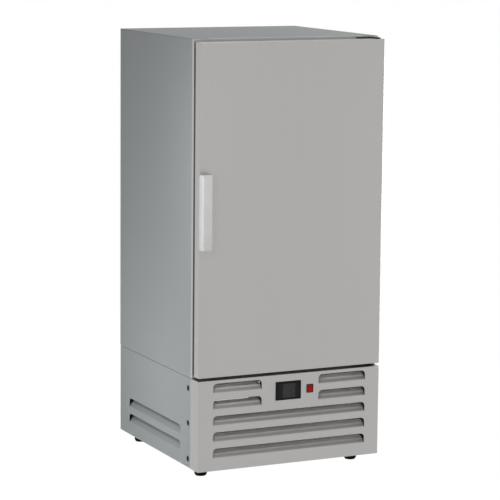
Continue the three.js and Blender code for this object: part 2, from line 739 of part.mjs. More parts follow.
// The inner liner closes the pan, and its middle is drawn out as a shallow tray towards the chamber.
function doorLiner() {
  const { bottom, top, thick, lip } = door;
  const drawn = (inset, y0, y1, slope) => {
    const [edge, rise] = [half - inset - slope, inset + slope];
    const outline = roundedRectangle(-edge, edge, bottom + rise, top - rise, 12);
    const block = new THREE.ExtrudeGeometry(outline, {
      depth: y1 - y0 - slope, bevelThickness: slope, bevelSize: slope, bevelSegments: 1, curveSegments: 3,
    });
    return block.rotateX(Math.PI / 2).translate(0, y1 - slope, 0);
  };
  const rim = box(
    [-half + lip + gap, half - lip - gap], [thick - 2, thick - gap], [bottom + lip + gap, top - lip - gap]);
  const raised = drawn(74, thick - 14, thick + 9, 8);
  const under = drawn(74 + sheet, thick - 24, thick + 9 - sheet, 8);
  const behind = box([-half, half], [thick - 2, depth], [bottom, top]);
  return cut(join(rim, common(raised, behind)), under);
}

// The seal is a hollow ring that lies between the door and the frame.
function doorSeal() {
  const inset = 24;
  const thick = 20;
  const { bottom, top } = door;
  const [y0, y1] = [door.thick, frame.front - gap];
  const ringAt = (out, wide, from, to) => cut(
    box([-half + out, half - out], [from, to], [bottom + out, top - out]),
    box([-half + out + wide, half - out - wide], [from - 1, to + 1], [bottom + out + wide, top - out - wide]),
  );
  return join(
    ringAt(inset, thick, y0, y0 + 3.6),
    ringAt(inset + 3, thick - 6, y0 + 3.5, y0 + 8.1),
    ringAt(inset, thick, y0 + 8, y1),
  );
}

// The handle is a drawn profile: a wall flush with the door's edge, a foot on the door's face, a crowned
// front plate and a lip that the fingers pull on from the right.
function handleGrip() {
  const { reach, width: across, skin, lip, bottom, top, cap } = handle;
  const shape = new THREE.Shape();
  const heel = 14;
  shape.moveTo(0, -gap);
  shape.lineTo(0, -reach + 5);
  shape.absarc(5, -reach + 5, 5, Math.PI, 1.5 * Math.PI);
  shape.lineTo(across - 4, -reach);
  shape.absarc(across - 4, -reach + 4, 4, -Math.PI / 2, 0);
  shape.lineTo(across, -reach + lip);
  shape.absarc(across - skin / 2, -reach + lip, skin / 2, 0, Math.PI);
  shape.lineTo(across - skin, -reach + skin + 2);
  shape.lineTo(across - skin - 2, -reach + skin);
  shape.lineTo(skin + 2, -reach + skin);
  shape.lineTo(skin, -reach + skin + 2);
  shape.lineTo(skin, -skin - gap);
  shape.lineTo(heel, -skin - gap);
  shape.lineTo(heel, -gap);
  return alongZ(shape, bottom + cap, top - cap, 4).translate(-half, 0, 0);
}

function handleCap(z0, z1) {
  const { reach, width: across } = handle;
  return alongZ(roundedRectangle(0, across, -reach, -gap, 3), z0, z1, 3).translate(-half, 0, 0);
}

// ---------------------------------------------------------------- hinges

// A bracket screwed to the frame: an upright tab, a plate that reaches out over or under the door's
// corner, and the pin that the door turns on. way is +1 where the pin points up into the door.
function hingeBracket(plateZ, way) {
  const [thick, tab] = [4, 24];
  const nose = 10;
  const back = frame.front - gap;
  const plate = new THREE.Shape();
  plate.moveTo(266, back - 10);
  plate.lineTo(pivot.x - nose - 6, back - 10);
  plate.lineTo(pivot.x - nose, pivot.y + 12);
  plate.lineTo(pivot.x - nose, pivot.y);
  plate.absarc(pivot.x, pivot.y, nose, Math.PI, 2 * Math.PI);
  plate.lineTo(pivot.x + nose, back);
  plate.lineTo(266, back);
  const span = (a, b) => [a, b].sort((p, q) => p - q);
  const leaf = alongZ(plate, plateZ, plateZ + thick, 6);
  const root = way > 0 ? plateZ : plateZ + thick;
  const tabPlate = box([266, pivot.x + nose], [back - 3, back], span(root, root + way * tab));
  const post = cylinder(pin.radius, ...span(root, root + way * (thick + 2 + pin.long)), 16);
  return join(leaf, tabPlate, post.translate(pivot.x, pivot.y, 0));
}

// ---------------------------------------------------------------- build

const { steel, sideSteel, linerSteel, zinc, copper, fins, greyPlastic, blackPlastic, blackPaint } = finishes;

add('side_panel_left', sidePanel(-1), sideSteel);
add('side_panel_right', sidePanel(1), sideSteel);
add('top_panel', topPanel(), sideSteel);
add('back_panel', backPanel(), zinc);
add('cabinet_deck', deck(), zinc);
add('frame_stile_left', frameStile(-1), steel);
add('frame_stile_right', frameStile(1), steel);
add('frame_rail_top', frameRail(bodyHeight, chamber.top), steel);
add('frame_rail_bottom', frameRail(cabinetZ, chamber.bottom), steel);
add('insulation', insulation(), finishes.foam);
add('liner_left', linerSide(-1), linerSteel);
add('liner_right', linerSide(1), linerSteel);
add('liner_ceiling', linerCeiling(), linerSteel);
add('liner_back', linerBack(), linerSteel);
add('liner_floor', linerFloor(), linerSteel);
add('drain_pipe', drainPipe(), greyPlastic);
add('rack_left', rack(-1), linerSteel);
add('rack_right', rack(1), linerSteel);

add('evaporator_cover', evaporatorCover(), linerSteel);
add('evaporator_coil', finnedCoil(evaporator), fins);
// A fan station turns its pieces so that their axis runs back into the machine from the plate they hang on.
function fanStation(x, y, z) {
  const station = new THREE.Group();
  station.position.set(x, y, z);
  station.rotation.x = -Math.PI / 2;
  machine.add(station);
  return station;
}

['lower', 'upper'].forEach((level, i) => {
  const station = fanStation(0, cover.y, chillFan.heights[i]);
  const [blades, motor] = [25, 45];
  add(`fan_guard_${level}`, fanGuard(chillFan.opening + 7), blackPaint, station).position.z = -3 - gap;
  add(`fan_blade_${level}`, fanBlades(chillFan), greyPlastic, station).position.z = blades;
  add(`fan_motor_${level}`, fanMotor(chillFan, motor - sheet - gap), blackPaint, station).position.z = motor;
});

add('base_pan', basePan(), zinc);
add('base_front_cover', frontCover(), steel);
add('base_side_left', baseSide(-1), sideSteel);
add('base_side_right', baseSide(1), sideSteel);
add('base_back', baseBack(), zinc);
add('cable_gland', cableGland(), blackPlastic);
footPlaces.forEach(([place, x, y]) => {
  add(`foot_${place}`, levellingFoot(), finishes.rubber).position.set(x, y, -foot.height);
});

add('controller_body', controllerBody(), blackPlastic);
add('controller_window', controllerWindow(), finishes.window);
add('switch_housing', switchHousing(), blackPlastic);
add('switch_rocker', rockerButton(), finishes.redPlastic).position.set(rocker.x, 3, rocker.z);

add('compressor', compressor(), blackPaint).position.set(compressorPlace.x, compressorPlace.y, 0);
add('compressor_terminal_cover', terminalCover(), blackPlastic)
  .position.set(compressorPlace.x, compressorPlace.y, 0);
add('condenser_coil', finnedCoil(condenser), fins);
add('condenser_shroud', condenserShroud(), zinc);
const outdoorStation = fanStation(condenserFan.x, shroudBack, condenserFan.z);
add('condenser_fan_blade', fanBlades(condenserFan), greyPlastic, outdoorStation).position.z = 20;
add('condenser_fan_motor', fanMotor(condenserFan, 40 - gap), blackPaint, outdoorStation).position.z = 40;
add('electric_box', electricBox(), greyPlastic);
add('condensate_tray', condensateTray(), greyPlastic);
add('liquid_line', liquidLine(), copper);
add('discharge_pipe', dischargePipe(), copper);
add('suction_pipe', suctionPipe(), copper);

add('door_skin', doorSkin(), steel);
add('door_foam', doorFoam(), finishes.foam);
add('door_liner', doorLiner(), linerSteel);
add('door_seal', doorSeal(), finishes.seal);
add('handle_grip', handleGrip(), finishes.handle);
add('handle_cap_top', handleCap(handle.top - handle.cap + gap, handle.top), finishes.handle);
add('handle_cap_bottom', handleCap(handle.bottom, handle.bottom + handle.cap - gap), finishes.handle);
add('hinge_bracket_top', hingeBracket(door.top + 1, -1), finishes.darkSteel);
add('hinge_bracket_bottom', hingeBracket(baseHeight + 2.5, 1), finishes.darkSteel);

export default machine;
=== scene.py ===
"""Looks of an upright blast chiller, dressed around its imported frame.

Until a mesh is made, lengths are millimetres as a fitter would measure them: x runs to the right from the
machine's middle, y runs back from the door's front face and z runs up from the underside of the base.
"""
import json
import logging
import math
from dataclasses import dataclass
from enum import Enum
from functools import cache
from typing import Mapping, Optional, Sequence, Union

import bmesh
import bpy
import numpy as np
from mathutils import Matrix, Vector
from numpy.typing import NDArray

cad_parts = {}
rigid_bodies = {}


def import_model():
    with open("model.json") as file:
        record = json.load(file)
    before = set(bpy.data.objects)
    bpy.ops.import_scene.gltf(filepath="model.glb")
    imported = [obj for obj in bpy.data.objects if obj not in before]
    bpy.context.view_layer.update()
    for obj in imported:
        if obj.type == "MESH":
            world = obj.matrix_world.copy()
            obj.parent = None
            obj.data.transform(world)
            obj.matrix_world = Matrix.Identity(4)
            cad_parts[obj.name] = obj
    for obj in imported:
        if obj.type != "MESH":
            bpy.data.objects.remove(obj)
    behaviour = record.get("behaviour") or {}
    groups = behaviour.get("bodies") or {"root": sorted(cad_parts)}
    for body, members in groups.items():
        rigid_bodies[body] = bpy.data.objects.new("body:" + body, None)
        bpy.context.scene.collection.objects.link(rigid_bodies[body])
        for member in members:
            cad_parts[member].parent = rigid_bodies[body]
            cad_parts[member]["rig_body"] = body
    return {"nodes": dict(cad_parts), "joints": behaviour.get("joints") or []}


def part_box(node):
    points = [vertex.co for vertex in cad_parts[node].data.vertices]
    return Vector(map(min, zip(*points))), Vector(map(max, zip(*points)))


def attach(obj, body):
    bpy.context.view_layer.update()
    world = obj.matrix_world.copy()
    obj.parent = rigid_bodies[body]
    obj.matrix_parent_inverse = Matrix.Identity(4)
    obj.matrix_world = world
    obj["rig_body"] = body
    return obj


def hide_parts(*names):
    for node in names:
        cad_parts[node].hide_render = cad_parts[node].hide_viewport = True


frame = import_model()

Array = NDArray[np.float64]
Pair = tuple[float, float]
Triple = tuple[float, float, float]
Number = Union[float, Array]
Socket = bpy.types.NodeSocket

LOG = logging.getLogger("chiller")
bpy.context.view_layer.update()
METRES = 0.001
WELD = 2e-6
# Name of the point attribute that carries the painted shade and light on the louvre flaps.
DUST = "dust"
COVER_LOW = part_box("base_front_cover")[0]
DATUM = np.array([0.0, COVER_LOW.y, COVER_LOW.z])
AXES = {"x": np.array([1.0, 0, 0]), "y": np.array([0, 1.0, 0]), "z": np.array([0, 0, 1.0])}


# ---------------------------------------------------------------- shapes


def measured(place: Sequence[float]) -> Array:
    """A place in the frame's metres, as millimetres from this file's own datum."""
    return (np.array(tuple(place), dtype=float) - DATUM) / METRES


def pivot(name: str) -> Array:
    """Where a joint turns."""
    return measured(next(joint for joint in frame["joints"] if joint["name"] == name)["pos_m"])


def spokes(count: int) -> Array:
    """Evenly spaced angles, once round."""
    return np.arange(count) * 2 * np.pi / count


@dataclass(frozen=True)
class Span:
    """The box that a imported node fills, in millimetres."""

    low: Array
    high: Array

    @classmethod
    def of(cls, node: str) -> "Span":
        """Reads the node's box from the frame."""
        return cls(*(measured(corner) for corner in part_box(node)))

    @property
    def middle(self) -> Array:
        """The centre of the box."""
        return (self.low + self.high) / 2

    @property
    def size(self) -> Array:
        """The box's width, depth and height."""
        return self.high - self.low

    def outline(self, inset: float = 0.0) -> "Outline":
        """The box seen from the front, drawn in by inset all round."""
        return Outline(self.low[0] + inset, self.high[0] - inset, self.low[2] + inset, self.high[2] - inset)


def arc(centre: Pair, radius: float, start: float, stop: float, count: int = 6) -> Array:
    """Points centre + radius (cos a, sin a), with a going evenly from start to stop in degrees.

    Args:
        centre: Middle of the circle.
        radius: Its radius.
        start: First angle.
        stop: Last angle.
        count: Number of points.

    Returns:
        Points (count, 2).
    """
    angle = np.radians(np.linspace(start, stop, count))
    return np.column_stack([centre[0] + radius * np.cos(angle), centre[1] + radius * np.sin(angle)])


def path(*parts: Union[Array, Sequence[float]]) -> Array:
    """Strings single points and runs of points together."""
    return np.vstack([np.atleast_2d(np.asarray(part, dtype=float)) for part in parts])


def walled(line: Array, wall: float) -> Array:
    """Follows a line and comes back along its offset.

    The offset of a point is wall times the mean normal of its two neighbours' runs, stretched at a corner so
    that the wall keeps its thickness: n / (n . n1), n the mean of the normals n1 and n2.

    Args:
        line: Points (count, 2).
        wall: Distance to the right of the line's direction.

    Returns:
        Points (2 count, 2), out along the line and back along the offset.
    """
    run = np.diff(line, axis=0)
    normal = np.column_stack([run[:, 1], -run[:, 0]]) / np.linalg.norm(run, axis=1)[:, None]
    before = np.vstack([normal[:1], normal])
    after = np.vstack([normal, normal[-1:]])
    mean = (before + after) / 2
    mean /= np.sum(mean * before, axis=1)[:, None]
    return np.vstack([line, (line + wall * mean)[::-1]])


@dataclass(frozen=True)
class Outline:
    """An upright rectangle seen from the front."""

    x0: float
    x1: float
    z0: float
    z1: float

    def rings(self, profile: Array, corner: Number, count: int = 5) -> Array:
        """Carries a profile round the rectangle.

        A point is centre + s (half - inset - r) + r u, where s is the corner's sign, u runs round a quarter
        circle and r is the corner radius less the inset.

        Args:
            profile: Points (n, 2) of inset from the rectangle's edge and place in y.
            corner: Radius of the rectangle's corners, one for all or one for each profile point.
            count: Points in each corner.

        Returns:
            A grid (n, 4 count, 3).
        """
        centre = np.array([(self.x0 + self.x1) / 2, (self.z0 + self.z1) / 2])
        half = np.array([(self.x1 - self.x0) / 2, (self.z1 - self.z0) / 2])
        sign = np.repeat(np.array([[1, -1], [1, 1], [-1, 1], [-1, -1]], dtype=float), count, axis=0)
        turn = arc((0, 0), 1, -90, 0, count)
        quarter = np.vstack([turn, turn @ [[0, 1], [-1, 0]], -turn, turn @ [[0, -1], [1, 0]]])
        inset = profile[:, 0][:, None, None]
        radius = np.maximum(np.broadcast_to(corner, len(profile)) - profile[:, 0], 0.15)[:, None, None]
        flat = centre + sign * (half - inset - radius) + radius * quarter
        depth = np.broadcast_to(profile[:, 1][:, None], flat.shape[:2])
        return np.stack([flat[..., 0], depth, flat[..., 1]], axis=-1)


class Shape:
    """Points and faces gathered for one piece, in millimetres."""

    def __init__(self) -> None:
        """Starts with nothing."""
        self.points: list[Array] = []
        self.faces: list[list[int]] = []
        self.dust: list[Array] = []
        self.count = 0

    def add(self, points: Array, faces: Array, dust: Number = 0.0) -> "Shape":
        """Adds points with faces that number them from nought, and how much painted shade and light lies on
        them.

        Args:
            points: Points, in any grid of threes.
            faces: Corner numbers, one row a face.
            dust: How much painted shade and light lies on the points, from 0 to 1.

        Returns:
            This shape.
        """
        self.points.append(points.reshape(-1, 3))
        self.faces.extend((faces + self.count).tolist())
        self.dust.append(np.broadcast_to(dust, points.shape[:-1]).reshape(-1))
        self.count += len(self.points[-1])
        return self

    def grid(self, points: Array, close_rows: bool = False, close_columns: bool = False,
             keep: Optional[Array] = None, dust: Number = 0.0) -> "Shape":
        """Joins neighbouring points of a grid with four-sided faces.

        Args:
            points: Grid (rows, columns, 3).
            close_rows: Joins the last row to the first.
            close_columns: Joins the last column to the first.
            keep: Mask (rows - 1, columns - 1) of the faces to make.
            dust: How much painted shade and light lies on the points, from 0 to 1.

        Returns:
            This shape.
        """
        index = np.arange(points.shape[0] * points.shape[1]).reshape(points.shape[:2])
        if close_rows:
            index = np.vstack([index, index[:1]])
        if close_columns:
            index = np.hstack([index, index[:, :1]])
        cells = np.stack([index[:-1, :-1], index[1:, :-1], index[1:, 1:], index[:-1, 1:]], axis=-1)
        return self.add(points, cells.reshape(-1, 4) if keep is None else cells[keep], dust)

    def loft(self, rings: Array) -> "Shape":
        """Joins closed rings and shuts the first and the last with a flat face.

        Args:
            rings: Grid (rings, points, 3).

        Returns:
            This shape.
        """
        self.grid(rings, close_columns=True)
        for ring in (rings[0], rings[-1]):
            self.add(ring, np.arange(len(ring))[None, :])
        return self

    def merge(self, other: "Shape") -> "Shape":
        """Takes in another shape.

        Args:
            other: The shape to take in.

        Returns:
            This shape.
        """
        for face in other.faces:
            self.faces.append([corner + self.count for corner in face])
        self.points.extend(other.points)
        self.dust.extend(other.dust)
        self.count += other.count
        return self

    def moved(self, offset: Array, matrix: Array = np.eye(3)) -> "Shape":
        """Turns every point with a 3 by 3 matrix and then shifts it.

        Args:
            offset: How far every point is shifted.
            matrix: What turns it first.

        Returns:
            This shape.
        """
        self.points = [points @ np.asarray(matrix).T + offset for points in self.points]
        return self


def across(axis: Array) -> tuple[Array, Array]:
    """Two unit vectors square to an axis and to each other.

    Args:
        axis: Unit vector.

    Returns:
        Both unit vectors.
    """
    first = np.cross(axis, np.eye(3)[np.argmin(np.abs(axis))])
    first /= np.linalg.norm(first)
    return first, np.cross(axis, first)


def turned(profile: Sequence[Sequence[float]], centre: Sequence[float], axis: Array, segments: int = 32,
           sides: int = 0) -> Shape:
    """Turns a profile about an axis.

    A point is centre + h axis + r k (a cos t + b sin t). k is 1 on a round piece, and on one with flat sides
    it is cos(pi / n) / cos(t folded into one side), so that r is the distance to a corner.

    Args:
        profile: Points of radius and height along the axis, from pole to pole or closed on itself.
        centre: Where height is nought.
        axis: Unit vector.
        segments: Points round the piece.
        sides: Number of flat sides, or 0 for a round piece.

    Returns:
        The shape.
    """
    line = np.asarray(profile, dtype=float)
    angle = spokes(segments)
    stretch = np.ones(segments)
    if sides:
        side = 2 * np.pi / sides
        stretch = np.cos(side / 2) / np.cos(angle % side - side / 2)
    first, second = across(axis)
    around = (first[None] * np.cos(angle)[:, None] + second[None] * np.sin(angle)[:, None]) * stretch[:, None]
    radius, height = line[:, 0][:, None, None], line[:, 1][:, None, None]
    return Shape().grid(np.asarray(centre, dtype=float) + height * axis + radius * around, close_columns=True)


def tube(line: Array, radius: Number, sides: int = 10, closed: bool = False,
         reference: Optional[Array] = None) -> Shape:
    """Carries a circle along a line.

    A point is line + r (p cos t + q sin t). p is square to the line's direction and to a fixed reference, and
    q to both.

    Args:
        line: Points (count, 3).
        radius: One radius, or one for each point.
        sides: Points round the tube.
        closed: Joins the end to the start. An open tube's ends are shut.
        reference: A direction that the line never takes; the least used one if it isn't given.

    Returns:
        The shape.
    """
    ahead = np.roll(line, -1, axis=0) - np.roll(line, 1, axis=0) if closed else np.gradient(line, axis=0)
    ahead /= np.linalg.norm(ahead, axis=1)[:, None]
    if reference is None:
        reference = np.linalg.svd(ahead, full_matrices=True)[2][-1]
    side = np.cross(ahead, reference)
    side /= np.linalg.norm(side, axis=1)[:, None]
    up = np.cross(side, ahead)
    angle = spokes(sides)
    thick = np.broadcast_to(radius, len(line))[:, None, None]
    rings = line[:, None] + thick * (side[:, None] * np.cos(angle)[None, :, None]
                                     + up[:, None] * np.sin(angle)[None, :, None])
    return Shape().grid(rings, close_rows=True, close_columns=True) if closed else Shape().loft(rings)


def hoop(centre: Sequence[float], radius: float, wire: float, axis: Array, segments: int = 64,
         sides: int = 8) -> Shape:
    """A round wire bent into a ring: a circle of the wire's radius carried round a circle.

    Args:
        centre: Middle of the ring.
        radius: Radius of the ring.
        wire: Radius of the wire.
        axis: Unit vector square to the ring.
        segments: Points round the ring.
        sides: Points round the wire.

    Returns:
        The shape.
    """
    angle = spokes(segments)
    first, second = across(axis)
    line = np.asarray(centre, dtype=float) + radius * (
        first * np.cos(angle)[:, None] + second * np.sin(angle)[:, None])
    return tube(line, wire, sides, closed=True, reference=axis)


def eased_route(points: Sequence[Triple], per_leg: int = 8, pull: float = 0.25) -> Array:
    """A smooth line through given points.

    Each leg is a cubic whose end directions are pull times the step between the points on either side. Past
    each end of the route the line is thought to go on straight.

    Args:
        points: Points that the line goes through.
        per_leg: Steps in each leg.
        pull: Share of the step taken as direction.

    Returns:
        Points (legs * per_leg + 1, 3).
    """
    knots = np.asarray(points, dtype=float)
    knots = np.vstack([2 * knots[0] - knots[1], knots, 2 * knots[-1] - knots[-2]])
    slope = pull * (knots[2:] - knots[:-2])
    start, stop = knots[1:-2, None], knots[2:-1, None]
    t = (np.arange(per_leg) / per_leg)[None, :, None]
    legs = ((2 * t**3 - 3 * t**2 + 1) * start + (t**3 - 2 * t**2 + t) * slope[:-1, None]
            + (3 * t**2 - 2 * t**3) * stop + (t**3 - t**2) * slope[1:, None])
    return np.vstack([legs.reshape(-1, 3), knots[-2]])


def blocks(centres: Array, size: Sequence[float]) -> Shape:
    """Many equal blocks: each centre plus half the size times the eight corner signs.

    Args:
        centres: Points (count, 3).
        size: Width, depth and height.

    Returns:
        The shape.
    """
    sign = np.array([[x, y, z] for x in (-1, 1) for y in (-1, 1) for z in (-1, 1)], dtype=float)
    corners = np.asarray(centres, dtype=float)[:, None] + sign * np.asarray(size, dtype=float) / 2
    faces = np.array([[0, 1, 3, 2], [4, 6, 7, 5], [0, 4, 5, 1], [2, 3, 7, 6], [0, 2, 6, 4], [1, 5, 7, 3]])
    index = faces[None] + 8 * np.arange(len(corners))[:, None, None]
    return Shape().add(corners.reshape(-1, 3), index.reshape(-1, 4))


def screw(centre: Sequence[float], out: Array, radius: float, height: float) -> Shape:
    """A low domed screw head with a hexagon socket, seated at centre and pointing out.

    The dome is the first 62 degrees of an ellipse. The socket's rings use the round head's 24 points, drawn
    in to a hexagon.

    Args:
        centre: Where the head is seated.
        out: Unit vector that it points along.
        radius: Radius of the head.
        height: Height of the head.

    Returns:
        The shape.
    """
    rounds, dome_end, socket = 24, 62, radius * 0.42
    rim = (socket * 1.12, height)
    dome = arc((0, 0), 1, 0, dome_end, 5) * [radius, height / math.sin(math.radians(dome_end))]
    head = turned([(0, 0), (radius, 0), *dome[1:], rim], centre, out, rounds)
    cup = [rim, (socket, height * 0.94), (socket, height * 0.3), (0, height * 0.2)]
    return head.merge(turned(cup, centre, out, rounds, 6))


# ---------------------------------------------------------------- finishes


class Nodes:
    """A node tree that is being wired."""

    def __init__(self, tree: bpy.types.NodeTree) -> None:
        """Takes the tree."""
        self.tree = tree

    def first(self, kind: str) -> bpy.types.Node:
        """The first node of a kind that the tree already has."""
        return next(node for node in self.tree.nodes if node.type == kind)

    def wire(self, node: bpy.types.Node, sockets: Mapping[Union[str, int], object]) -> None:
        """Sets a node's inputs to values, or links them to outputs of other nodes.

        Args:
            node: The node.
            sockets: What each input gets.
        """
        for key, value in sockets.items():
            if isinstance(value, Socket):
                self.tree.links.new(value, node.inputs[key])
            else:
                node.inputs[key].default_value = value

    def add(self, kind: str, sockets: Mapping[Union[str, int], object], **settings: object) -> bpy.types.Node:
        """Adds a node.

        Args:
            kind: Blender's name for the node, without "ShaderNode".
            sockets: Values or outputs of other nodes for its inputs.
            settings: Its other settings.

        Returns:
            The node.
        """
        node = self.tree.nodes.new(f"ShaderNode{kind}")
        for key, value in settings.items():
            setattr(node, key, value)
        self.wire(node, sockets)
        return node

    def level(self, source: Socket, ends: Pair, reach: Pair) -> Socket:
        """Stretches a source's values from the reach to the ends.

        Args:
            source: The values.
            ends: What the reach's ends become.
            reach: The values that are stretched.

        Returns:
            The stretched values.
        """
        return self.add("MapRange", {"Value": source, "From Min": reach[0], "From Max": reach[1],
                                     "To Min": ends[0], "To Max": ends[1]}).outputs[0]

    def sum(self, sources: Sequence[Socket], clamp: bool = False) -> Socket:
        """Adds sources up, each step held between 0 and 1 if it is clamped.

        Args:
            sources: What is added up.
            clamp: Whether each step is held.

        Returns:
            The sum.
        """
        total = sources[0]
        for source in sources[1:]:
            total = self.add("Math", {0: total, 1: source}, operation="ADD", use_clamp=clamp).outputs[0]
        return total


class Pattern(Enum):
    """What makes a layer's pattern."""

    NOISE = "soft noise that repeats about so many times a metre along each axis"
    CELLS = "the distance to the middle of the nearest cell"
    CRYSTALS = "one tone for each cell"
    # Painted shade and light on the louvre flaps, read from the piece's attribute.
    DUST = "how much dust the piece carries"


@dataclass(frozen=True)
class Layer:
    """One pattern of a finish. Its values from start to stop (reach) are stretched to what it adds.

    tone is its share of the colour, rough of the roughness and metal of the metal; depth is its height as a
    bump, in millimetres.
    """

    per_metre: Triple = (1.0, 1.0, 1.0)
    detail: float = 2.0
    warp: float = 0.0
    tone: Optional[Pair] = None
    rough: Optional[Pair] = None
    metal: Optional[Pair] = None
    depth: float = 0.0
    reach: Pair = (0.3, 0.7)
    pattern: Pattern = Pattern.NOISE

    def drawn(self, nodes: Nodes, place: Socket) -> Socket:
        """The pattern's values at a place.

        Args:
            nodes: The material's tree.
            place: Object coordinates.

        Returns:
            The values.
        """
        if self.pattern is Pattern.DUST:
            return nodes.add("Attribute", {}, attribute_name=DUST).outputs["Fac"]
        if self.pattern is Pattern.NOISE:
            spread = nodes.add("Mapping", {"Vector": place, "Scale": self.per_metre})
            noise = nodes.add("TexNoise", {"Vector": spread.outputs[0], "Scale": 1.0, "Detail": self.detail,
                                           "Distortion": self.warp})
            return noise.outputs["Fac"]
        cells = nodes.add("TexVoronoi", {"Vector": place, "Scale": self.per_metre[0]})
        if self.pattern is Pattern.CELLS:
            return cells.outputs["Distance"]
        return nodes.add("SeparateColor", {"Color": cells.outputs["Color"]}).outputs[0]


@dataclass(frozen=True)
class Finish:
    """What every finish has: its name, the record's slot that it belongs to and its even look."""

    name: str
    slot: str
    colour: Triple
    roughness: float = 0.45
    metal: float = 0.0
    shine: float = 0.5

    def layers(self) -> tuple[Layer, ...]:
        """The patterns that lie on the even look."""
        raise NotImplementedError

    def material(self) -> bpy.types.Material:
        """Builds the finish: the colour is scaled by the sum of the tones, and the rest is summed.

        Returns:
            The material.
        """
        material = bpy.data.materials.new(self.name)
        material.use_nodes = True
        nodes = Nodes(material.node_tree)
        shader = nodes.first("BSDF_PRINCIPLED")
        place = nodes.add("TexCoord", {}).outputs["Object"]
        tint = nodes.add("VectorMath", {0: self.colour}, operation="SCALE")
        nodes.wire(shader, {"Base Color": tint.outputs[0], "Roughness": self.roughness,
                            "Metallic": self.metal, "Specular IOR Level": self.shine})
        drawn = [(layer, layer.drawn(nodes, place)) for layer in self.layers()]
        for node, socket, part in ((tint, "Scale", "tone"), (shader, "Roughness", "rough"),
                                   (shader, "Metallic", "metal")):
            levels = [nodes.level(values, getattr(layer, part), layer.reach)
                      for layer, values in drawn if getattr(layer, part)]
            if levels:
                nodes.wire(node, {socket: nodes.sum(levels)})
        for layer, values in drawn:
            if layer.depth:
                depth = layer.depth * METRES
                bump = nodes.add("Bump", {"Height": values, "Strength": 1.0, "Distance": depth})
                nodes.wire(shader, {"Normal": bump.outputs[0]})
        return material

    def near(self, low: float, high: float) -> Pair:
        """The roughness, less low and plus high."""
        return self.roughness - low, self.roughness + high


class Grain(Enum):
    """The way a steel sheet was brushed, as how far the lines stretch along x, y and z."""

    UPRIGHT = (1.0, 1.0, 0.006)
    LENGTHWISE = (0.006, 1.0, 1.0)
    INWARD = (1.0, 0.006, 1.0)

    def lines(self, per_metre: float) -> Triple:
        """Lines drawn out along the grain, so many a metre across it."""
        return tuple(per_metre * share for share in self.value)


@dataclass(frozen=True)
class BrushedSteel(Finish):
    """Satin stainless sheet: fine brushed lines, broader bands and faint wiping marks.

    Where flaps carry painted shade and light, the first tenth of it takes away most of the metal and brings
    the tone down to the first of the two values (painted shade), and its middle part lifts it on to the second
    (painted light).
    """

    grain: Grain = Grain.UPRIGHT
    contrast: float = 1.0
    # Tones of the painted shade at a flap's foot and of the painted light deeper in it.
    flap_shade_tones: Optional[Pair] = None

    def layers(self) -> tuple[Layer, ...]:
        """The brushed lines, the bands, the wiping marks and the painted shade and light on the flaps.

        Returns:
            The layers.
        """
        part = 0.02 * self.contrast
        steel = (Layer(self.grain.lines(2600.0), 4.0, tone=(1 - part, 1 + part), rough=self.near(0.03, 0.03),
                       depth=0.001),
                 Layer(self.grain.lines(90.0), tone=(-part / 3, part / 3)),
                 Layer((2.3, 2.3, 1.4), 3.0, 0.6, tone=(-0.006, 0.006), rough=(-0.02, 0.02)))
        if not self.flap_shade_tones:
            return steel
        # The first tone darkens a flap near its foot as painted shade; the second brightens its deeper part,
        # which the sheet above shades, as painted light.
        shaded_foot_tone, thick = self.flap_shade_tones
        return (*steel, Layer(tone=(0.0, shaded_foot_tone - 1.0), metal=(self.metal, 0.05), reach=(0.0, 0.1),
                              pattern=Pattern.DUST),
                Layer(tone=(0.0, thick - shaded_foot_tone), reach=(0.35, 0.75), pattern=Pattern.DUST))


class ZincSheet(Finish):
    """Zinc-coated sheet with its large, faint crystals."""

    def layers(self) -> tuple[Layer, ...]:
        """The crystals and a soft cloud."""
        return (Layer((95.0,) * 3, tone=(0.93, 1.05), rough=self.near(0.06, 0.08), depth=0.01,
                      reach=(0.0, 1.0), pattern=Pattern.CRYSTALS),
                Layer((9.0,) * 3, 4.0, tone=(-0.03, 0.03), rough=(-0.03, 0.03)))


@dataclass(frozen=True)
class Moulded(Finish):
    """Moulded plastic or rubber with a fine spark-eroded texture."""

    grain: float = 0.03
    per_metre: float = 2200.0
    wear: float = 0.05

    def layers(self) -> tuple[Layer, ...]:
        """The worn patches and the texture."""
        return (Layer((14.0,) * 3, 4.0, 0.4, tone=(1 - self.wear, 1 + self.wear), rough=(-0.04, 0.04)),
                Layer((self.per_metre,) * 3, tone=(-0.02, 0.02), rough=self.near(0.04, 0.04),
                      depth=self.grain))


class Coated(Finish):
    """A sprayed coat on metal, with orange peel."""

    def layers(self) -> tuple[Layer, ...]:
        """Dusty patches and the peel."""
        return (Layer((22.0,) * 3, 5.0, 0.5, tone=(0.9, 1.15), rough=self.near(0.06, 0.1)),
                Layer((420.0,) * 3, tone=(-0.03, 0.03), depth=0.06))


class RigidFoam(Finish):
    """Foamed polyurethane with its cells and its yellow skin."""

    def layers(self) -> tuple[Layer, ...]:
        """The skin's clouds and the cells."""
        return (Layer((7.0,) * 3, 4.0, 0.8, tone=(0.85, 1.1)),
                Layer((620.0,) * 3, tone=(-0.08, 0.05), depth=0.5, reach=(0.0, 0.8), pattern=Pattern.CELLS))


class Copper(Finish):
    """Drawn copper tube, darkened in patches."""

    def layers(self) -> tuple[Layer, ...]:
        """The tarnish and the drawing marks."""
        return (Layer((38.0,) * 3, 5.0, 1.2, tone=(0.62, 1.12), rough=(0.46, 0.26)),
                Layer((1500.0,) * 3, rough=(-0.04, 0.04), depth=0.01))


class Glossy(Finish):
    """A smooth cap that shows only fingerprints and faint mould flow."""

    def layers(self) -> tuple[Layer, ...]:
        """The fingerprints and the flow."""
        return (Layer((70.0,) * 3, 4.0, 1.5, tone=(0.93, 1.07), rough=self.near(0.05, 0.12)),
                Layer((260.0, 260.0, 900.0), rough=(-0.01, 0.01), depth=0.004))


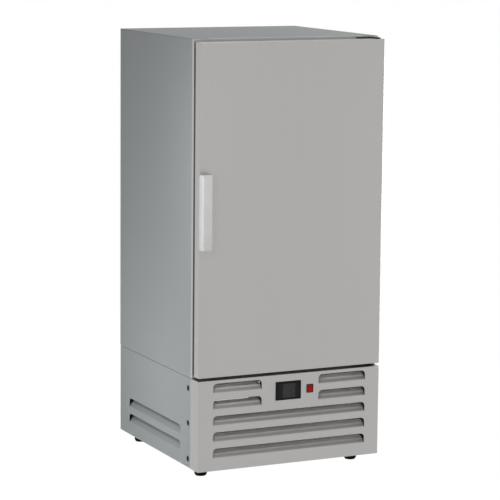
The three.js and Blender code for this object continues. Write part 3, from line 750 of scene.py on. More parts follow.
class Display(Finish):
    """A dark display behind glass, with its faint grid of dots."""

    def layers(self) -> tuple[Layer, ...]:
        """The haze and the dots."""
        return (Layer((45.0,) * 3, 3.0, 0.8, tone=(0.95, 1.06), rough=(0.22, 0.34)),
                Layer((1900.0,) * 3, tone=(0.04, -0.06), depth=0.004, reach=(0.0, 0.7),
                      pattern=Pattern.CELLS))


FRONT = (0.432, 0.425, 0.416)
# Painted shade: the side and top sheets are the same steel as the front, given this darker, cooler tone
# because they turn away from the light.
SHADED_SIDE_TONE = (0.254, 0.272, 0.277)
LINER = (0.50, 0.51, 0.51)

DOOR_STEEL = BrushedSteel("door_steel", "front_steel", FRONT, 0.40, 0.92)
# The front cover's steel paints shade and light on its louvre flaps.
SHADE_PAINTED_COVER_STEEL = BrushedSteel("cover_steel", "front_steel", FRONT, 0.42, 0.92, grain=Grain.LENGTHWISE,
                           flap_shade_tones=(0.56, 2.25))
FRAME_STEEL = BrushedSteel("frame_steel", "front_steel", (0.43, 0.43, 0.425), 0.36, 0.85)
# The side, base side and top sheets carry that painted shade in their colour.
SHADED_SIDE_STEEL = BrushedSteel("side_steel_sheet", "side_steel", SHADED_SIDE_TONE, 0.44, 0.2)
SHADED_BASE_SIDE_STEEL = BrushedSteel("base_side_steel", "side_steel", SHADED_SIDE_TONE, 0.44, 0.2, grain=Grain.INWARD)
SHADED_TOP_STEEL = BrushedSteel("top_steel", "side_steel", (0.255, 0.272, 0.277), 0.46, 0.35, grain=Grain.INWARD)
LINER_STEEL = BrushedSteel("liner_steel_sheet", "liner_steel", LINER, 0.30, 0.75)
LINER_LEVEL_STEEL = BrushedSteel("liner_level_steel", "liner_steel", LINER, 0.30, 0.75,
                                 grain=Grain.LENGTHWISE)
RUNNER_STEEL = BrushedSteel("runner_steel", "liner_steel", (0.52, 0.53, 0.53), 0.28, 0.75, grain=Grain.INWARD)
BRIGHT_STEEL = BrushedSteel("bright_steel", "zinc_sheet", (0.55, 0.55, 0.54), 0.25, 0.9,
                            grain=Grain.LENGTHWISE, contrast=0.5)
ZINC = ZincSheet("zinc_coat", "zinc_sheet", (0.40, 0.42, 0.43), 0.42, 0.85)
FINS = BrushedSteel("fin_stock", "fin_aluminium", (0.56, 0.58, 0.60), 0.34, 0.85)
COPPER = Copper("copper_tube", "copper", (0.62, 0.27, 0.14), metal=1.0)
HANDLE_PLASTIC = Moulded("handle_moulding", "handle_plastic", (0.49, 0.484, 0.488), 0.5, grain=0.02)
GREY_PLASTIC = Moulded("grey_moulding", "grey_plastic", (0.07, 0.075, 0.08), 0.55)
BLACK_PLASTIC = Moulded("black_moulding", "black_plastic", (0.0055, 0.0055, 0.006), 0.5, shine=0.12,
                        grain=0.02)
INNER_PLASTIC = Moulded("inner_bezel", "window_plastic", (0.009, 0.009, 0.0095), 0.35, shine=0.15, grain=0.01)
RUBBER = Moulded("foot_rubber", "black_rubber", (0.004, 0.004, 0.004), 0.72, 0.0, 0.08, 0.06, 900.0, 0.25)
SEAL_RUBBER = Moulded("gasket", "seal_rubber", (0.075, 0.078, 0.082), 0.7, 0.0, 0.2, 0.03, 1400.0, 0.1)
BLACK_COAT = Coated("black_coat", "black_paint", (0.013, 0.013, 0.014), 0.42)
WIRE_COAT = Coated("wire_coat", "black_paint", (0.016, 0.016, 0.017), 0.34)
DARK_COAT = Coated("dark_coat", "dark_steel", (0.032, 0.032, 0.034), 0.45, 0.4)
SCREW_BLACK = Coated("screw_black", "dark_steel", (0.005, 0.005, 0.0055), 0.45, shine=0.15)
FOAM = RigidFoam("rigid_foam", "foam", (0.62, 0.50, 0.23), 0.95, shine=0.2)
RED_PLASTIC = Glossy("red_moulding", "red_plastic", (0.42, 0.007, 0.007), 0.3, shine=0.2)
DISPLAY = Display("display_glass", "window_plastic", (0.03, 0.03, 0.031), shine=0.25)


@cache
def paint(finish: Finish) -> bpy.types.Material:
    """A finish's material, built the first time it is asked for."""
    return finish.material()


# ---------------------------------------------------------------- pieces


def bake(piece: bpy.types.Object) -> None:
    """Puts the modifiers of a piece into its mesh.

    Args:
        piece: The piece.
    """
    shape = bpy.data.meshes.new_from_object(piece.evaluated_get(bpy.context.evaluated_depsgraph_get()))
    old = piece.data
    piece.modifiers.clear()
    piece.data = shape
    bpy.data.meshes.remove(old)


@dataclass(frozen=True)
class Make:
    """How a shape is finished: sheet thickness, eased edges and the angle past which an edge stays crisp."""

    wall: float = 0.0
    edge: float = 0.0
    edge_steps: int = 2
    crisp: float = 38.0
    eased_past: float = 32.0

    def work(self, piece: bpy.types.Object) -> None:
        """Gives a sheet its wall and a block its eased edges, then shades it with large faces kept flat.

        Args:
            piece: The piece.
        """
        if self.wall:
            solid = piece.modifiers.new("wall", "SOLIDIFY")
            solid.thickness = self.wall * METRES
            solid.offset = 0.0
            solid.use_even_offset = True
        if self.edge:
            bevel = piece.modifiers.new("edge", "BEVEL")
            bevel.width = self.edge * METRES
            bevel.segments = self.edge_steps
            bevel.limit_method = "ANGLE"
            bevel.angle_limit = math.radians(self.eased_past)
        if self.wall or self.edge:
            bake(piece)
        piece.data.polygons.foreach_set("use_smooth", np.ones(len(piece.data.polygons), dtype=bool))
        piece.data.set_sharp_from_angle(angle=math.radians(self.crisp))
        piece.modifiers.new("even", "WEIGHTED_NORMAL").keep_sharp = True
        bake(piece)


def fit(name: str, mesh: bpy.types.Mesh, make: Make, body: str, finish: Finish,
        replaces: Sequence[str]) -> None:
    """Finishes a piece, hangs it on its body and reports it.

    Args:
        name: Name of the piece.
        mesh: Its mesh.
        make: Wall, edges and shading.
        body: The body that it moves with.
        finish: Its finish.
        replaces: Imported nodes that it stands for.
    """
    piece = bpy.data.objects.new(name, mesh)
    bpy.context.scene.collection.objects.link(piece)
    make.work(piece)
    piece.data.materials.clear()
    piece.data.materials.append(paint(finish))
    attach(piece, body)
    if replaces:
        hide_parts(*replaces)
    LOG.info("%s: %d faces on %s", piece.name, len(piece.data.polygons), body)


def welded(mesh: bpy.types.Mesh, dissolve: bool) -> bpy.types.Mesh:
    """Joins a mesh's doubles; then joins its level triangles into faces, or turns its faces outwards.

    Args:
        mesh: The mesh.
        dissolve: Whether its level triangles are joined.

    Returns:
        The mesh.
    """
    kit = bmesh.new()
    kit.from_mesh(mesh)
    bmesh.ops.remove_doubles(kit, verts=kit.verts, dist=WELD)
    if dissolve:
        bmesh.ops.dissolve_limit(kit, angle_limit=math.radians(0.6), verts=kit.verts, edges=kit.edges)
    else:
        bmesh.ops.recalc_face_normals(kit, faces=kit.faces)
    kit.to_mesh(mesh)
    kit.free()
    return mesh


def piece_from(name: str, shape: Shape, finish: Finish, replaces: Sequence[str] = (), make: Make = Make(),
               body: str = "cabinet") -> None:
    """Turns a gathered shape into a finished piece.

    Args:
        name: Name of the piece.
        shape: Its points and faces.
        finish: Its finish.
        replaces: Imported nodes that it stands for.
        make: Wall, edges and shading.
        body: The body that it moves with.
    """
    mesh = bpy.data.meshes.new(name)
    points = np.vstack(shape.points) * METRES + DATUM
    mesh.from_pydata(points.tolist(), [], shape.faces)
    # Stores how much painted shade and light each point carries.
    mesh.attributes.new(DUST, "FLOAT", "POINT").data.foreach_set("value", np.concatenate(shape.dust))
    fit(name, welded(mesh, False), make, body, finish, replaces)


def eased_copy(node: str, finish: Finish, edge: float, steps: int = 2) -> None:
    """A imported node's shape with its loose triangles joined into faces and its edges eased.

    Args:
        node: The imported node, whose own mesh stays as it is.
        finish: Its finish.
        edge: Width of the eased edges.
        steps: Facets across an eased edge.
    """
    source = frame["nodes"][node]
    mesh = source.data.copy()
    for layer in [layer.name for layer in mesh.uv_layers]:
        mesh.uv_layers.remove(mesh.uv_layers[layer])
    fit(f"{node}_eased", welded(mesh, True), Make(edge=edge, edge_steps=steps, crisp=34.0), source["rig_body"],
        finish, (node,))


def repaint(finish: Finish, *nodes: str) -> None:
    """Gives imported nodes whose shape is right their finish.

    Args:
        finish: The finish.
        nodes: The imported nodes.
    """
    for node in nodes:
        for slot in frame["nodes"][node].material_slots:
            slot.material = paint(finish)
        LOG.info("%s: repainted", node)


# ---------------------------------------------------------------- pressed sheets


class Facing(Enum):
    """Which way a sheet looks out: along which axis, and whether down or up that axis."""

    FRONT = (1, -1)
    BACK = (1, 1)
    LEFT = (0, -1)
    RIGHT = (0, 1)

    def out(self) -> Array:
        """The way out, as a unit vector."""
        axis, sign = self.value
        return np.where(np.arange(3) == axis, float(sign), 0.0)

    def place(self, points: Array, span: Span) -> Array:
        """Puts points of (along, deep, up) behind the outer surface of the node that fills a span.

        Args:
            points: Grid of points (along, deep, up).
            span: The node's box.

        Returns:
            The same grid in x, y and z.
        """
        axis, sign = self.value
        along, deep, up = points[..., 0], points[..., 1], points[..., 2]
        inward = (span.high if sign > 0 else span.low)[axis] - sign * deep
        return np.stack((along, inward, up) if axis else (inward, along, up), axis=-1)


@dataclass(frozen=True)
class Window:
    """A cut in a sheet, straight at its foot, with its upper corners rounded where corner is given."""

    left: float
    right: float
    foot: float
    head: float
    corner: float = 0.0
    parts: int = 1

    @classmethod
    def behind(cls, node: str, inset: float) -> "Window":
        """The cut behind a control, drawn in from its rim."""
        rim = Span.of(node).outline(inset)
        return cls(rim.x0, rim.x1, rim.z0, rim.z1)

    @classmethod
    def square(cls, along: float, up: float, half: float, parts: int = 1) -> "Window":
        """A square cut about a point."""
        return cls(along - half, along + half, up - half, up + half, 0.0, parts)

    def drawn_in(self, height: Array) -> Array:
        """How far the side has moved in at a height: r - sqrt(r^2 - d^2), d above the corner's centre."""
        above = np.clip(height - (self.head - self.corner), 0.0, self.corner)
        return self.corner - np.sqrt(self.corner**2 - above**2)

    def columns(self) -> Array:
        """The places along the sheet where its grid needs a line."""
        return np.linspace(self.left, self.right, self.parts + 1)

    def levels(self) -> Array:
        """The heights where the sheet's grid needs a line."""
        turn = self.head - self.corner + self.corner * np.sin(np.linspace(0, np.pi / 2, 7))
        return np.concatenate([np.linspace(self.foot, self.head, self.parts + 1), turn])

    def holds(self, along: Array, up: Array) -> Array:
        """Whether points lie in the window's rectangle."""
        return (along > self.left) & (along < self.right) & (up > self.foot) & (up < self.head)


@dataclass(frozen=True)
class Louvre:
    """How a louvre is pressed: its flap stays joined along the foot, bends in and runs on straight."""

    height: float = 34.5
    corner: float = 14.0
    angle: float = math.radians(38.0)
    bend: float = 6.0
    play: float = 0.9

    def window(self, left: float, right: float, foot: float) -> Window:
        """The cut that the flap is pressed out of.

        Args:
            left: Where the cut starts along the sheet.
            right: Where it ends.
            foot: Height of its foot.

        Returns:
            The cut.
        """
        return Window(left, right, foot, foot + self.height, self.corner)

    def flap(self, window: Window, columns: Array, half: float) -> Array:
        """The flap as a grid.

        At a length s up the flap its section turns by s / R up to the bend's end, with R the bend's length
        over the angle: deep is R (1 - cos(s / R)) and up is R sin(s / R). Past that it runs on straight. Its
        sides are the window's, drawn in by the play.

        Args:
            window: The louvre's cut.
            columns: The sheet's lines along the foot.
            half: Half the sheet's thickness.

        Returns:
            A grid (lengths, columns, 3) of along, deep and up.
        """
        length = self.height - self.play
        corner = self.corner - self.play
        along = np.concatenate([
            np.linspace(0, self.bend, 6), length - corner + corner * np.sin(np.linspace(0, np.pi / 2, 8))])
        radius = self.bend / self.angle
        turn = np.minimum(along, self.bend) / radius
        straight = np.maximum(along - self.bend, 0.0)
        deep = radius * (1 - np.cos(turn)) + straight * math.sin(self.angle)
        rise = radius * np.sin(turn) + straight * math.cos(self.angle)
        blank = Window(window.left + self.play, window.right - self.play, 0.0, length, corner)
        inset = blank.drawn_in(along)[:, None]
        line = columns[(columns > blank.left - 1e-6) & (columns < blank.right + 1e-6)][None]
        spread = np.clip(line, blank.left + inset, blank.right - inset)
        return np.stack([spread, np.broadcast_to((half + deep)[:, None], spread.shape),
                         np.broadcast_to((window.foot + rise)[:, None], spread.shape)], axis=-1)


@dataclass(frozen=True)
class PressedSheet:
    """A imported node's sheet with pressed louvres, grooves and screw dimples, folded back along its edges.

    The face is one grid of along and up. Lines are set at every cut's edges, cells inside a cut are left out,
    and a groove pushes its cells back by a smooth hump. The folds are those of start, end, foot and head. The
    sheet is made thinner by the trim, so that it stays inside the node.
    """

    node: str
    facing: Facing
    folds: tuple[float, float, float, float] = (0.0, 0.0, 0.0, 0.0)
    louvres: tuple[Triple, ...] = ()
    cuts: tuple[Window, ...] = ()
    dimples: tuple[Pair, ...] = ()
    grooves: tuple[Window, ...] = ()
    form: Louvre = Louvre()
    wall: float = 1.2
    trim: float = 0.05
    bend: float = 1.9
    dimple: float = 8.0
    groove_depth: float = 1.0
    groove_end: float = 9.0
    head_share: float = 0.88
    head_height: float = 3.2
    head_sink: float = 3.3

    def put(self, points: Array) -> Array:
        """Puts points of (along, deep, up) behind the node's outer surface."""
        return self.facing.place(points, Span.of(self.node))

    def windows(self) -> tuple[list[Window], list[Window]]:
        """The cuts of the sheet.

        Returns:
            The louvres' cuts, and all the cuts.
        """
        pressed = [self.form.window(*louvre) for louvre in self.louvres]
        seats = [Window.square(along, up, self.dimple, 6) for along, up in self.dimples]
        return pressed, [*pressed, *self.cuts, *seats]

    def face(self) -> tuple[Array, Array, Array]:
        """The flat face.

        Returns:
            The grid of points, the mask of cells that are left and the lines along the sheet.
        """
        pressed, windows = self.windows()
        span, across_facing, tail = Span.of(self.node), 1 - self.facing.value[0], self.groove_end
        start, end, foot, head = (self.bend + self.wall / 2 if fold else 0.0 for fold in self.folds)
        breadth = np.array([span.low[across_facing] + start, span.high[across_facing] - end])
        height = np.array([span.low[2] + foot, span.high[2] - head])
        play = [np.array([w.left + self.form.play, w.right - self.form.play]) for w in pressed]
        ribs = [np.linspace(g.left, g.right, 9) for g in self.grooves]
        tails = [np.linspace(end, end + way * tail, 5)
                 for g in self.grooves for end, way in ((g.foot, 1), (g.head, -1))]
        columns, levels = (
            np.unique(np.round(np.concatenate(lines), 4))
            for lines in ([breadth, *play, *ribs, *(w.columns() for w in windows)],
                          [height, *tails, *(w.levels() for w in windows)]))
        flat, rise = np.meshgrid(columns, levels)
        for w in windows:
            inside = (flat >= w.left) & (flat <= w.right) & (rise >= w.foot) & (rise <= w.head)
            inset = w.drawn_in(rise)
            flat = np.where(inside, np.clip(flat, w.left + inset, w.right - inset), flat)
        deep = np.full(flat.shape, self.wall / 2)
        for groove in self.grooves:
            side = np.clip((flat - groove.left) / (groove.right - groove.left), 0, 1)
            near = np.clip(np.minimum(rise - groove.foot, groove.head - rise) / tail, 0, 1)
            deep += self.groove_depth * np.sin(np.pi * side) ** 2 * np.sin(np.pi / 2 * near) ** 2
        middle = np.meshgrid((columns[:-1] + columns[1:]) / 2, (levels[:-1] + levels[1:]) / 2)
        keep = ~np.any([window.holds(*middle) for window in windows], axis=0)
        return np.stack([flat, deep, rise], axis=-1), keep, columns

    def seat(self, along: float, up: float) -> Array:
        """A screw's dimple: rings that go from the cut's square edge to a sunk round seat.

        Args:
            along: The screw's place along the sheet.
            up: Its height.

        Returns:
            A grid (rings, 24, 3) of along, deep and up.
        """
        side = np.linspace(-self.dimple, self.dimple, 7)[:-1]
        edge = np.full(6, self.dimple)
        square = np.column_stack([np.concatenate([side, edge, -side, -edge]),
                                  np.concatenate([-edge, side, edge, -side])])
        way = square / np.linalg.norm(square, axis=1)[:, None]
        rings = [square, *(way * self.dimple * share for share in (0.97, 0.94, 0.915, 0.9, 0.38))]
        depth = np.array([0.0, 0.0, 0.25, 1.0, 2.9, 3.1]) + self.wall / 2
        flat = np.stack(rings) + [along, up]
        deep = np.broadcast_to(depth[:, None], flat.shape[:2])
        return np.stack([flat[..., 0], deep, flat[..., 1]], axis=-1)

    def fold(self, edge: Array, outward: Pair, depth: float, closed: Pair, inward: Pair) -> Array:
        """Carries an edge of the face round its bend and back.

        At a turn a the edge has gone out by r sin a and in by r (1 - cos a), and it then runs straight. Where
        the next edge is folded as far, the corner goes out both ways, and the two folds meet in a mitre.

        Args:
            edge: Points along the edge.
            outward: The way out of the sheet, square to the edge.
            depth: How far back the fold reaches.
            closed: Whether the fold meets its neighbour at the edge's first and last point.
            inward: The way along the edge, from its first to its last point.

        Returns:
            A grid of points.
        """
        turn = np.radians(np.linspace(0, 90, 6))
        out = np.append(self.bend * np.sin(turn), self.bend)
        back = np.append(self.bend * (1 - np.cos(turn)), depth - self.wall / 2)
        way = np.tile(np.array([outward[0], 0.0, outward[1]]), (len(edge), 1))
        way[0] -= closed[0] * np.array([inward[0], 0.0, inward[1]])
        way[-1] += closed[1] * np.array([inward[0], 0.0, inward[1]])
        return edge[None] + out[:, None, None] * way + back[:, None, None] * np.array([0.0, 1.0, 0.0])

    def shape(self) -> Shape:
        """The whole sheet at its mid-thickness. The deeper a flap's point lies, the more dust it carries.

        Returns:
            The shape.
        """
        points, keep, columns = self.face()
        made = Shape().grid(self.put(points), keep=keep)
        for window in self.windows()[0]:
            flap = self.form.flap(window, columns, self.wall / 2)
            # The deeper a flap's point lies, the more painted shade and light it carries.
            deep = flap[:, :1, 1] - self.wall / 2
            made.grid(self.put(flap), dust=deep / deep.max())
        for along, up in self.dimples:
            made.grid(self.put(self.seat(along, up)), close_columns=True)
        start, end, foot, head = self.folds
        for edge, outward, depth, beside, inward in (
                (points[:, 0], (-1, 0), start, (foot, head), (0, 1)),
                (points[:, -1], (1, 0), end, (foot, head), (0, 1)),
                (points[0], (0, -1), foot, (start, end), (1, 0)),
                (points[-1], (0, 1), head, (start, end), (1, 0))):
            if depth:
                closed = tuple(float(other == depth) for other in beside)
                made.grid(self.put(self.fold(edge, outward, depth, closed, inward)))
        return made

    def screws(self) -> Shape:
        """A screw in each dimple, with its top just under the sheet's surface.

        Returns:
            The heads.
        """
        heads = Shape()
        for along, up in self.dimples:
            place = self.put(np.array([along, self.head_sink, up]))
            heads.merge(screw(place, self.facing.out(), self.dimple * self.head_share, self.head_height))
        return heads

    def build(self, word: str, finish: Finish, heads: Optional[Finish] = None, slot: str = "") -> None:
        """Makes the sheet, and its screws where they have a finish.

        Args:
            word: What the piece's name adds to the node's.
            finish: The sheet's finish.
            heads: The screws' finish.
            slot: The screws' material slot, where it isn't their finish's own; not used.
        """
        make = Make(wall=self.wall - self.trim)
        piece_from(f"{self.node}_{word}", self.shape(), finish, (self.node,), make)
        if heads:
            piece_from(f"{self.node}_screws", self.screws(), heads)


# ---------------------------------------------------------------- door


@dataclass(frozen=True)
class Door:
    """The folded outer skin, the inner liner, the gasket, the bushes and the pull handle."""

    bend: float = 2.6
    sheet: float = 1.2
    lip: float = 14.0
    tray: float = 74.0
    slope: float = 8.0
    flat: float = 14.0
    rim: float = 37.7
    seal_inset: float = 24.0
    seal_width: float = 20.0
    seal_waist: float = 3.4
    seal_rib: float = 0.5
    grip_wall: float = 3.0

    def skin(self) -> Shape:
        """The pan: its profile runs from the front face round the edge, back and in along the lip.

        Returns:
            The shape.
        """
        span = Span.of("door_skin")
        r, depth = self.bend, span.high[1]
        outside = path(
            arc((r, r), r, -90, -180, 7), arc((r, depth - r), r, 180, 90, 7), (self.lip, depth))
        return Shape().loft(span.outline().rings(walled(outside, self.sheet), self.bend + 0.2))

    def liner(self) -> Shape:
        """The inner sheet, drawn out towards the chamber in a shallow tray with eased bends.

        The tray's corners are rounder the further they lie in from the rim.

        Returns:
            The shape.
        """
        span = Span.of("door_liner")
        rim, raised = self.rim, span.high[1]
        foot = self.tray - (Span.of("door_skin").high[0] - span.high[0])
        head = foot + self.slope
        round_foot, round_head, steep, eased = 5.0, 4.0, 45.0, 0.4
        line = path(
            (head + self.flat, raised),
            arc((head + round_head * eased, raised - round_head), round_head, 90, 90 + steep, 6),
            arc((foot - round_foot * eased, rim + round_foot), round_foot, -90 + steep, -90, 6), (0.0, rim))
        profile = walled(line, -self.sheet)
        near, far, small, large = 20.0, 50.0, 2.0, 22.0
        radii = small + (large - small) * np.clip((profile[:, 0] - near) / (far - near), 0, 1)
        corner = profile[:, 0] * (radii > small + 1) + radii
        return Shape().loft(span.outline().rings(profile, corner, 9))

    def seal(self) -> Shape:
        """The gasket: a flat foot, a waisted bellows and a magnet pouch, as one closed profile.

        From the door (t = 0) to the frame (t = 1) its half width is half the width - waist sin^2(pi t)
        - rib sin^2(3 pi t).

        Returns:
            The shape.
        """
        door, span = Span.of("door_skin"), Span.of("door_seal")
        t = np.linspace(0.0, 1.0, 15)
        waved = self.seal_waist * np.sin(np.pi * t) ** 2
        half = self.seal_width / 2 - waved - self.seal_rib * np.sin(3 * np.pi * t) ** 2
        depth = span.low[1] + t * (span.high[1] - span.low[1])
        middle = self.seal_inset + self.seal_width / 2
        profile = path(np.column_stack([middle - half, depth]), np.column_stack([middle + half, depth])[::-1])
        rings = door.outline().rings(profile, np.full(len(profile), 3.0), 3)
        return Shape().grid(rings, close_rows=True, close_columns=True)

    def grip(self) -> Shape:
        """The handle's drawn profile, carried up from cap to cap.

        Returns:
            The shape.
        """
        span = Span.of("handle_grip")
        x, width = span.low[0], span.high[0] - span.low[0]
        front, back, wall, heel = span.low[1], span.high[1], self.grip_wall, 14.0
        lip = front + 10
        outside, near = 5.0, 4.0
        outline = path(
            (0, back), arc((outside, front + outside), outside, 180, 270, 8),
            np.column_stack([np.linspace(outside + 2, width - near - 2, 7), np.full(7, front)]),
            arc((width - near, front + near), near, -90, 0, 8),
            arc((width - wall / 2, lip), wall / 2, 0, 180, 8),
            arc((width - wall - 2.4, front + wall + 2.4), 2.4, 0, -90, 5),
            arc((wall + 2.4, front + wall + 2.4), 2.4, -90, -180, 5),
            arc((wall + 2, back - wall - 2), 2, 180, 90, 4), (heel - 1, back - wall), (heel, back - wall + 1),
            (heel, back))
        rise = np.linspace(span.low[2], span.high[2], 3)
        rings = np.stack([np.column_stack([x + outline[:, 0], outline[:, 1], np.full(len(outline), z)])
                          for z in rise])
        return Shape().loft(rings)

    def cap(self, node: str) -> Shape:
        """An end cap: the handle's outline with round corners and a rounded edge on its outer face.

        Args:
            node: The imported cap.

        Returns:
            The shape.
        """
        span = Span.of(node)
        low, high = span.low, span.high
        top = node.endswith("top")
        plan = Outline(low[0], high[0], low[1], high[1])
        ease = 1.3
        edge = arc((ease, high[2] - ease) if top else (ease, low[2] + ease), ease, 180, 90 if top else 270, 6)
        flat = (0.0, low[2] if top else high[2])
        rings = plan.rings(path(flat, edge), 4.0, 7)
        return Shape().loft(rings[..., [0, 2, 1]])

    def build(self) -> None:
        """Makes the door's pieces."""
        top, bottom = "handle_cap_top", "handle_cap_bottom"
        for name, shape, finish, node in (
                ("door_skin_folded", self.skin(), DOOR_STEEL, "door_skin"),
                ("door_liner_drawn", self.liner(), LINER_STEEL, "door_liner"),
                ("door_gasket", self.seal(), SEAL_RUBBER, "door_seal"),
                ("handle_profile", self.grip(), HANDLE_PLASTIC, "handle_grip"),
                (f"{top}_moulded", self.cap(top), HANDLE_PLASTIC, top),
                (f"{bottom}_moulded", self.cap(bottom), HANDLE_PLASTIC, bottom)):
            piece_from(name, shape, finish, (node,), body="door")
        repaint(FOAM, "door_foam")
        self.bushes()

    def bushes(self) -> None:
        """Flanged bushes for the two hinge pins."""
        door, (x, y, _) = Span.of("door_skin"), pivot("door_hinge")
        flange = [(5.2, 0), (9.0, 0), (9.0, 0.6), (8.6, 0.9), (5.4, 0.9), (5.2, 0.6), (5.2, 0)]
        for end, z, way in (("bottom", door.low[2], -1.0), ("top", door.high[2], 1.0)):
            bush = turned(flange, (x, y, z), AXES["z"] * way)
            piece_from(f"door_bush_{end}", bush, BLACK_PLASTIC, body="door")


# ---------------------------------------------------------------- cabinet


@dataclass(frozen=True)
class Cabinet:
    """The outer sheets, the front frame, the insulation and the chamber's lining."""

    cap_wall: float = 0.8
    cap_crown: float = 0.5
    cap_back: float = 2.0
    screw_inset: Pair = (18.0, 40.0)
    groove_middle: float = 150.0
    groove_half: float = 9.0
    groove_stop: float = 60.0

    def back(self) -> None:
        """The back sheet with its two upright grooves and a row of screws at each side."""
        span = Span.of("back_panel")
        side, end = self.screw_inset
        rise = np.linspace(span.low[2] + end, span.high[2] - end, 4)
        PressedSheet(
            "back_panel", Facing.BACK,
            dimples=tuple((sign * (span.high[0] - side), float(z)) for sign in (-1, 1) for z in rise),
            grooves=tuple(Window(x - self.groove_half, x + self.groove_half, span.low[2] + self.groove_stop,
                                 span.high[2] - self.groove_stop)
                          for x in (-self.groove_middle, self.groove_middle)),
        ).build("ribbed", ZINC, BRIGHT_STEEL)

    def corner_caps(self) -> None:
        """A cap in each stile's open head; it rises by the crown times sin(pi u) sin(pi v) across it."""
        caps = Shape()
        for side, first, last in (("left", 1.2, 2.0), ("right", 2.0, 1.2)):
            span = Span.of(f"frame_stile_{side}")
            u, v = np.meshgrid(np.linspace(0, 1, 25), np.linspace(0, 1, 9))
            width, depth, _ = span.size - [first + last, self.cap_back, 0]
            crown = self.cap_crown * (1 - np.sin(np.pi * u) * np.sin(np.pi * v))
            caps.grid(np.stack([span.low[0] + first + u * width, span.low[1] + self.cap_back + v * depth,
                                span.high[2] - self.cap_wall - crown], axis=-1))
        piece_from("frame_corner_caps", caps, SHADE_PAINTED_COVER_STEEL, make=Make(wall=self.cap_wall))

    def build(self) -> None:
        """Makes the cabinet's pieces."""
        for side in ("left", "right"):
            eased_copy(f"side_panel_{side}", SHADED_SIDE_STEEL, 0.5)
            eased_copy(f"frame_stile_{side}", FRAME_STEEL, 1.0, 3)
        eased_copy("top_panel", SHADED_TOP_STEEL, 0.4)
        eased_copy("frame_rail_top", SHADE_PAINTED_COVER_STEEL, 0.6)
        eased_copy("frame_rail_bottom", SHADE_PAINTED_COVER_STEEL, 0.6)
        self.back()
        self.corner_caps()
        repaint(ZINC, "cabinet_deck")
        repaint(FOAM, "insulation")
        repaint(LINER_STEEL, "liner_left", "liner_right", "liner_back")
        repaint(LINER_LEVEL_STEEL, "liner_ceiling")
        eased_copy("liner_floor", LINER_LEVEL_STEEL, 0.25, 1)
        eased_copy("drain_pipe", GREY_PLASTIC, 0.3, 1)


@dataclass(frozen=True)
class Hinges:
    """The two brackets that carry the door, with their screws."""

    screw_places: Pair = (276.0, 296.0)
    from_head: float = 12.0
    from_foot: float = 22.0
    seat: float = 3.0

    def build(self) -> None:
        """Makes the brackets and their screws."""
        for end in ("top", "bottom"):
            node = f"hinge_bracket_{end}"
            eased_copy(node, DARK_COAT, 0.6)
            span = Span.of(node)
            level = span.low[2] + self.from_head if end == "top" else span.high[2] - self.from_foot
            heads = Shape()
            for x in self.screw_places:
                heads.merge(screw((x, span.high[1] - self.seat, level), -AXES["y"], 4.2, 2.0))
            piece_from(f"{node}_screws", heads, SCREW_BLACK)


# ---------------------------------------------------------------- base


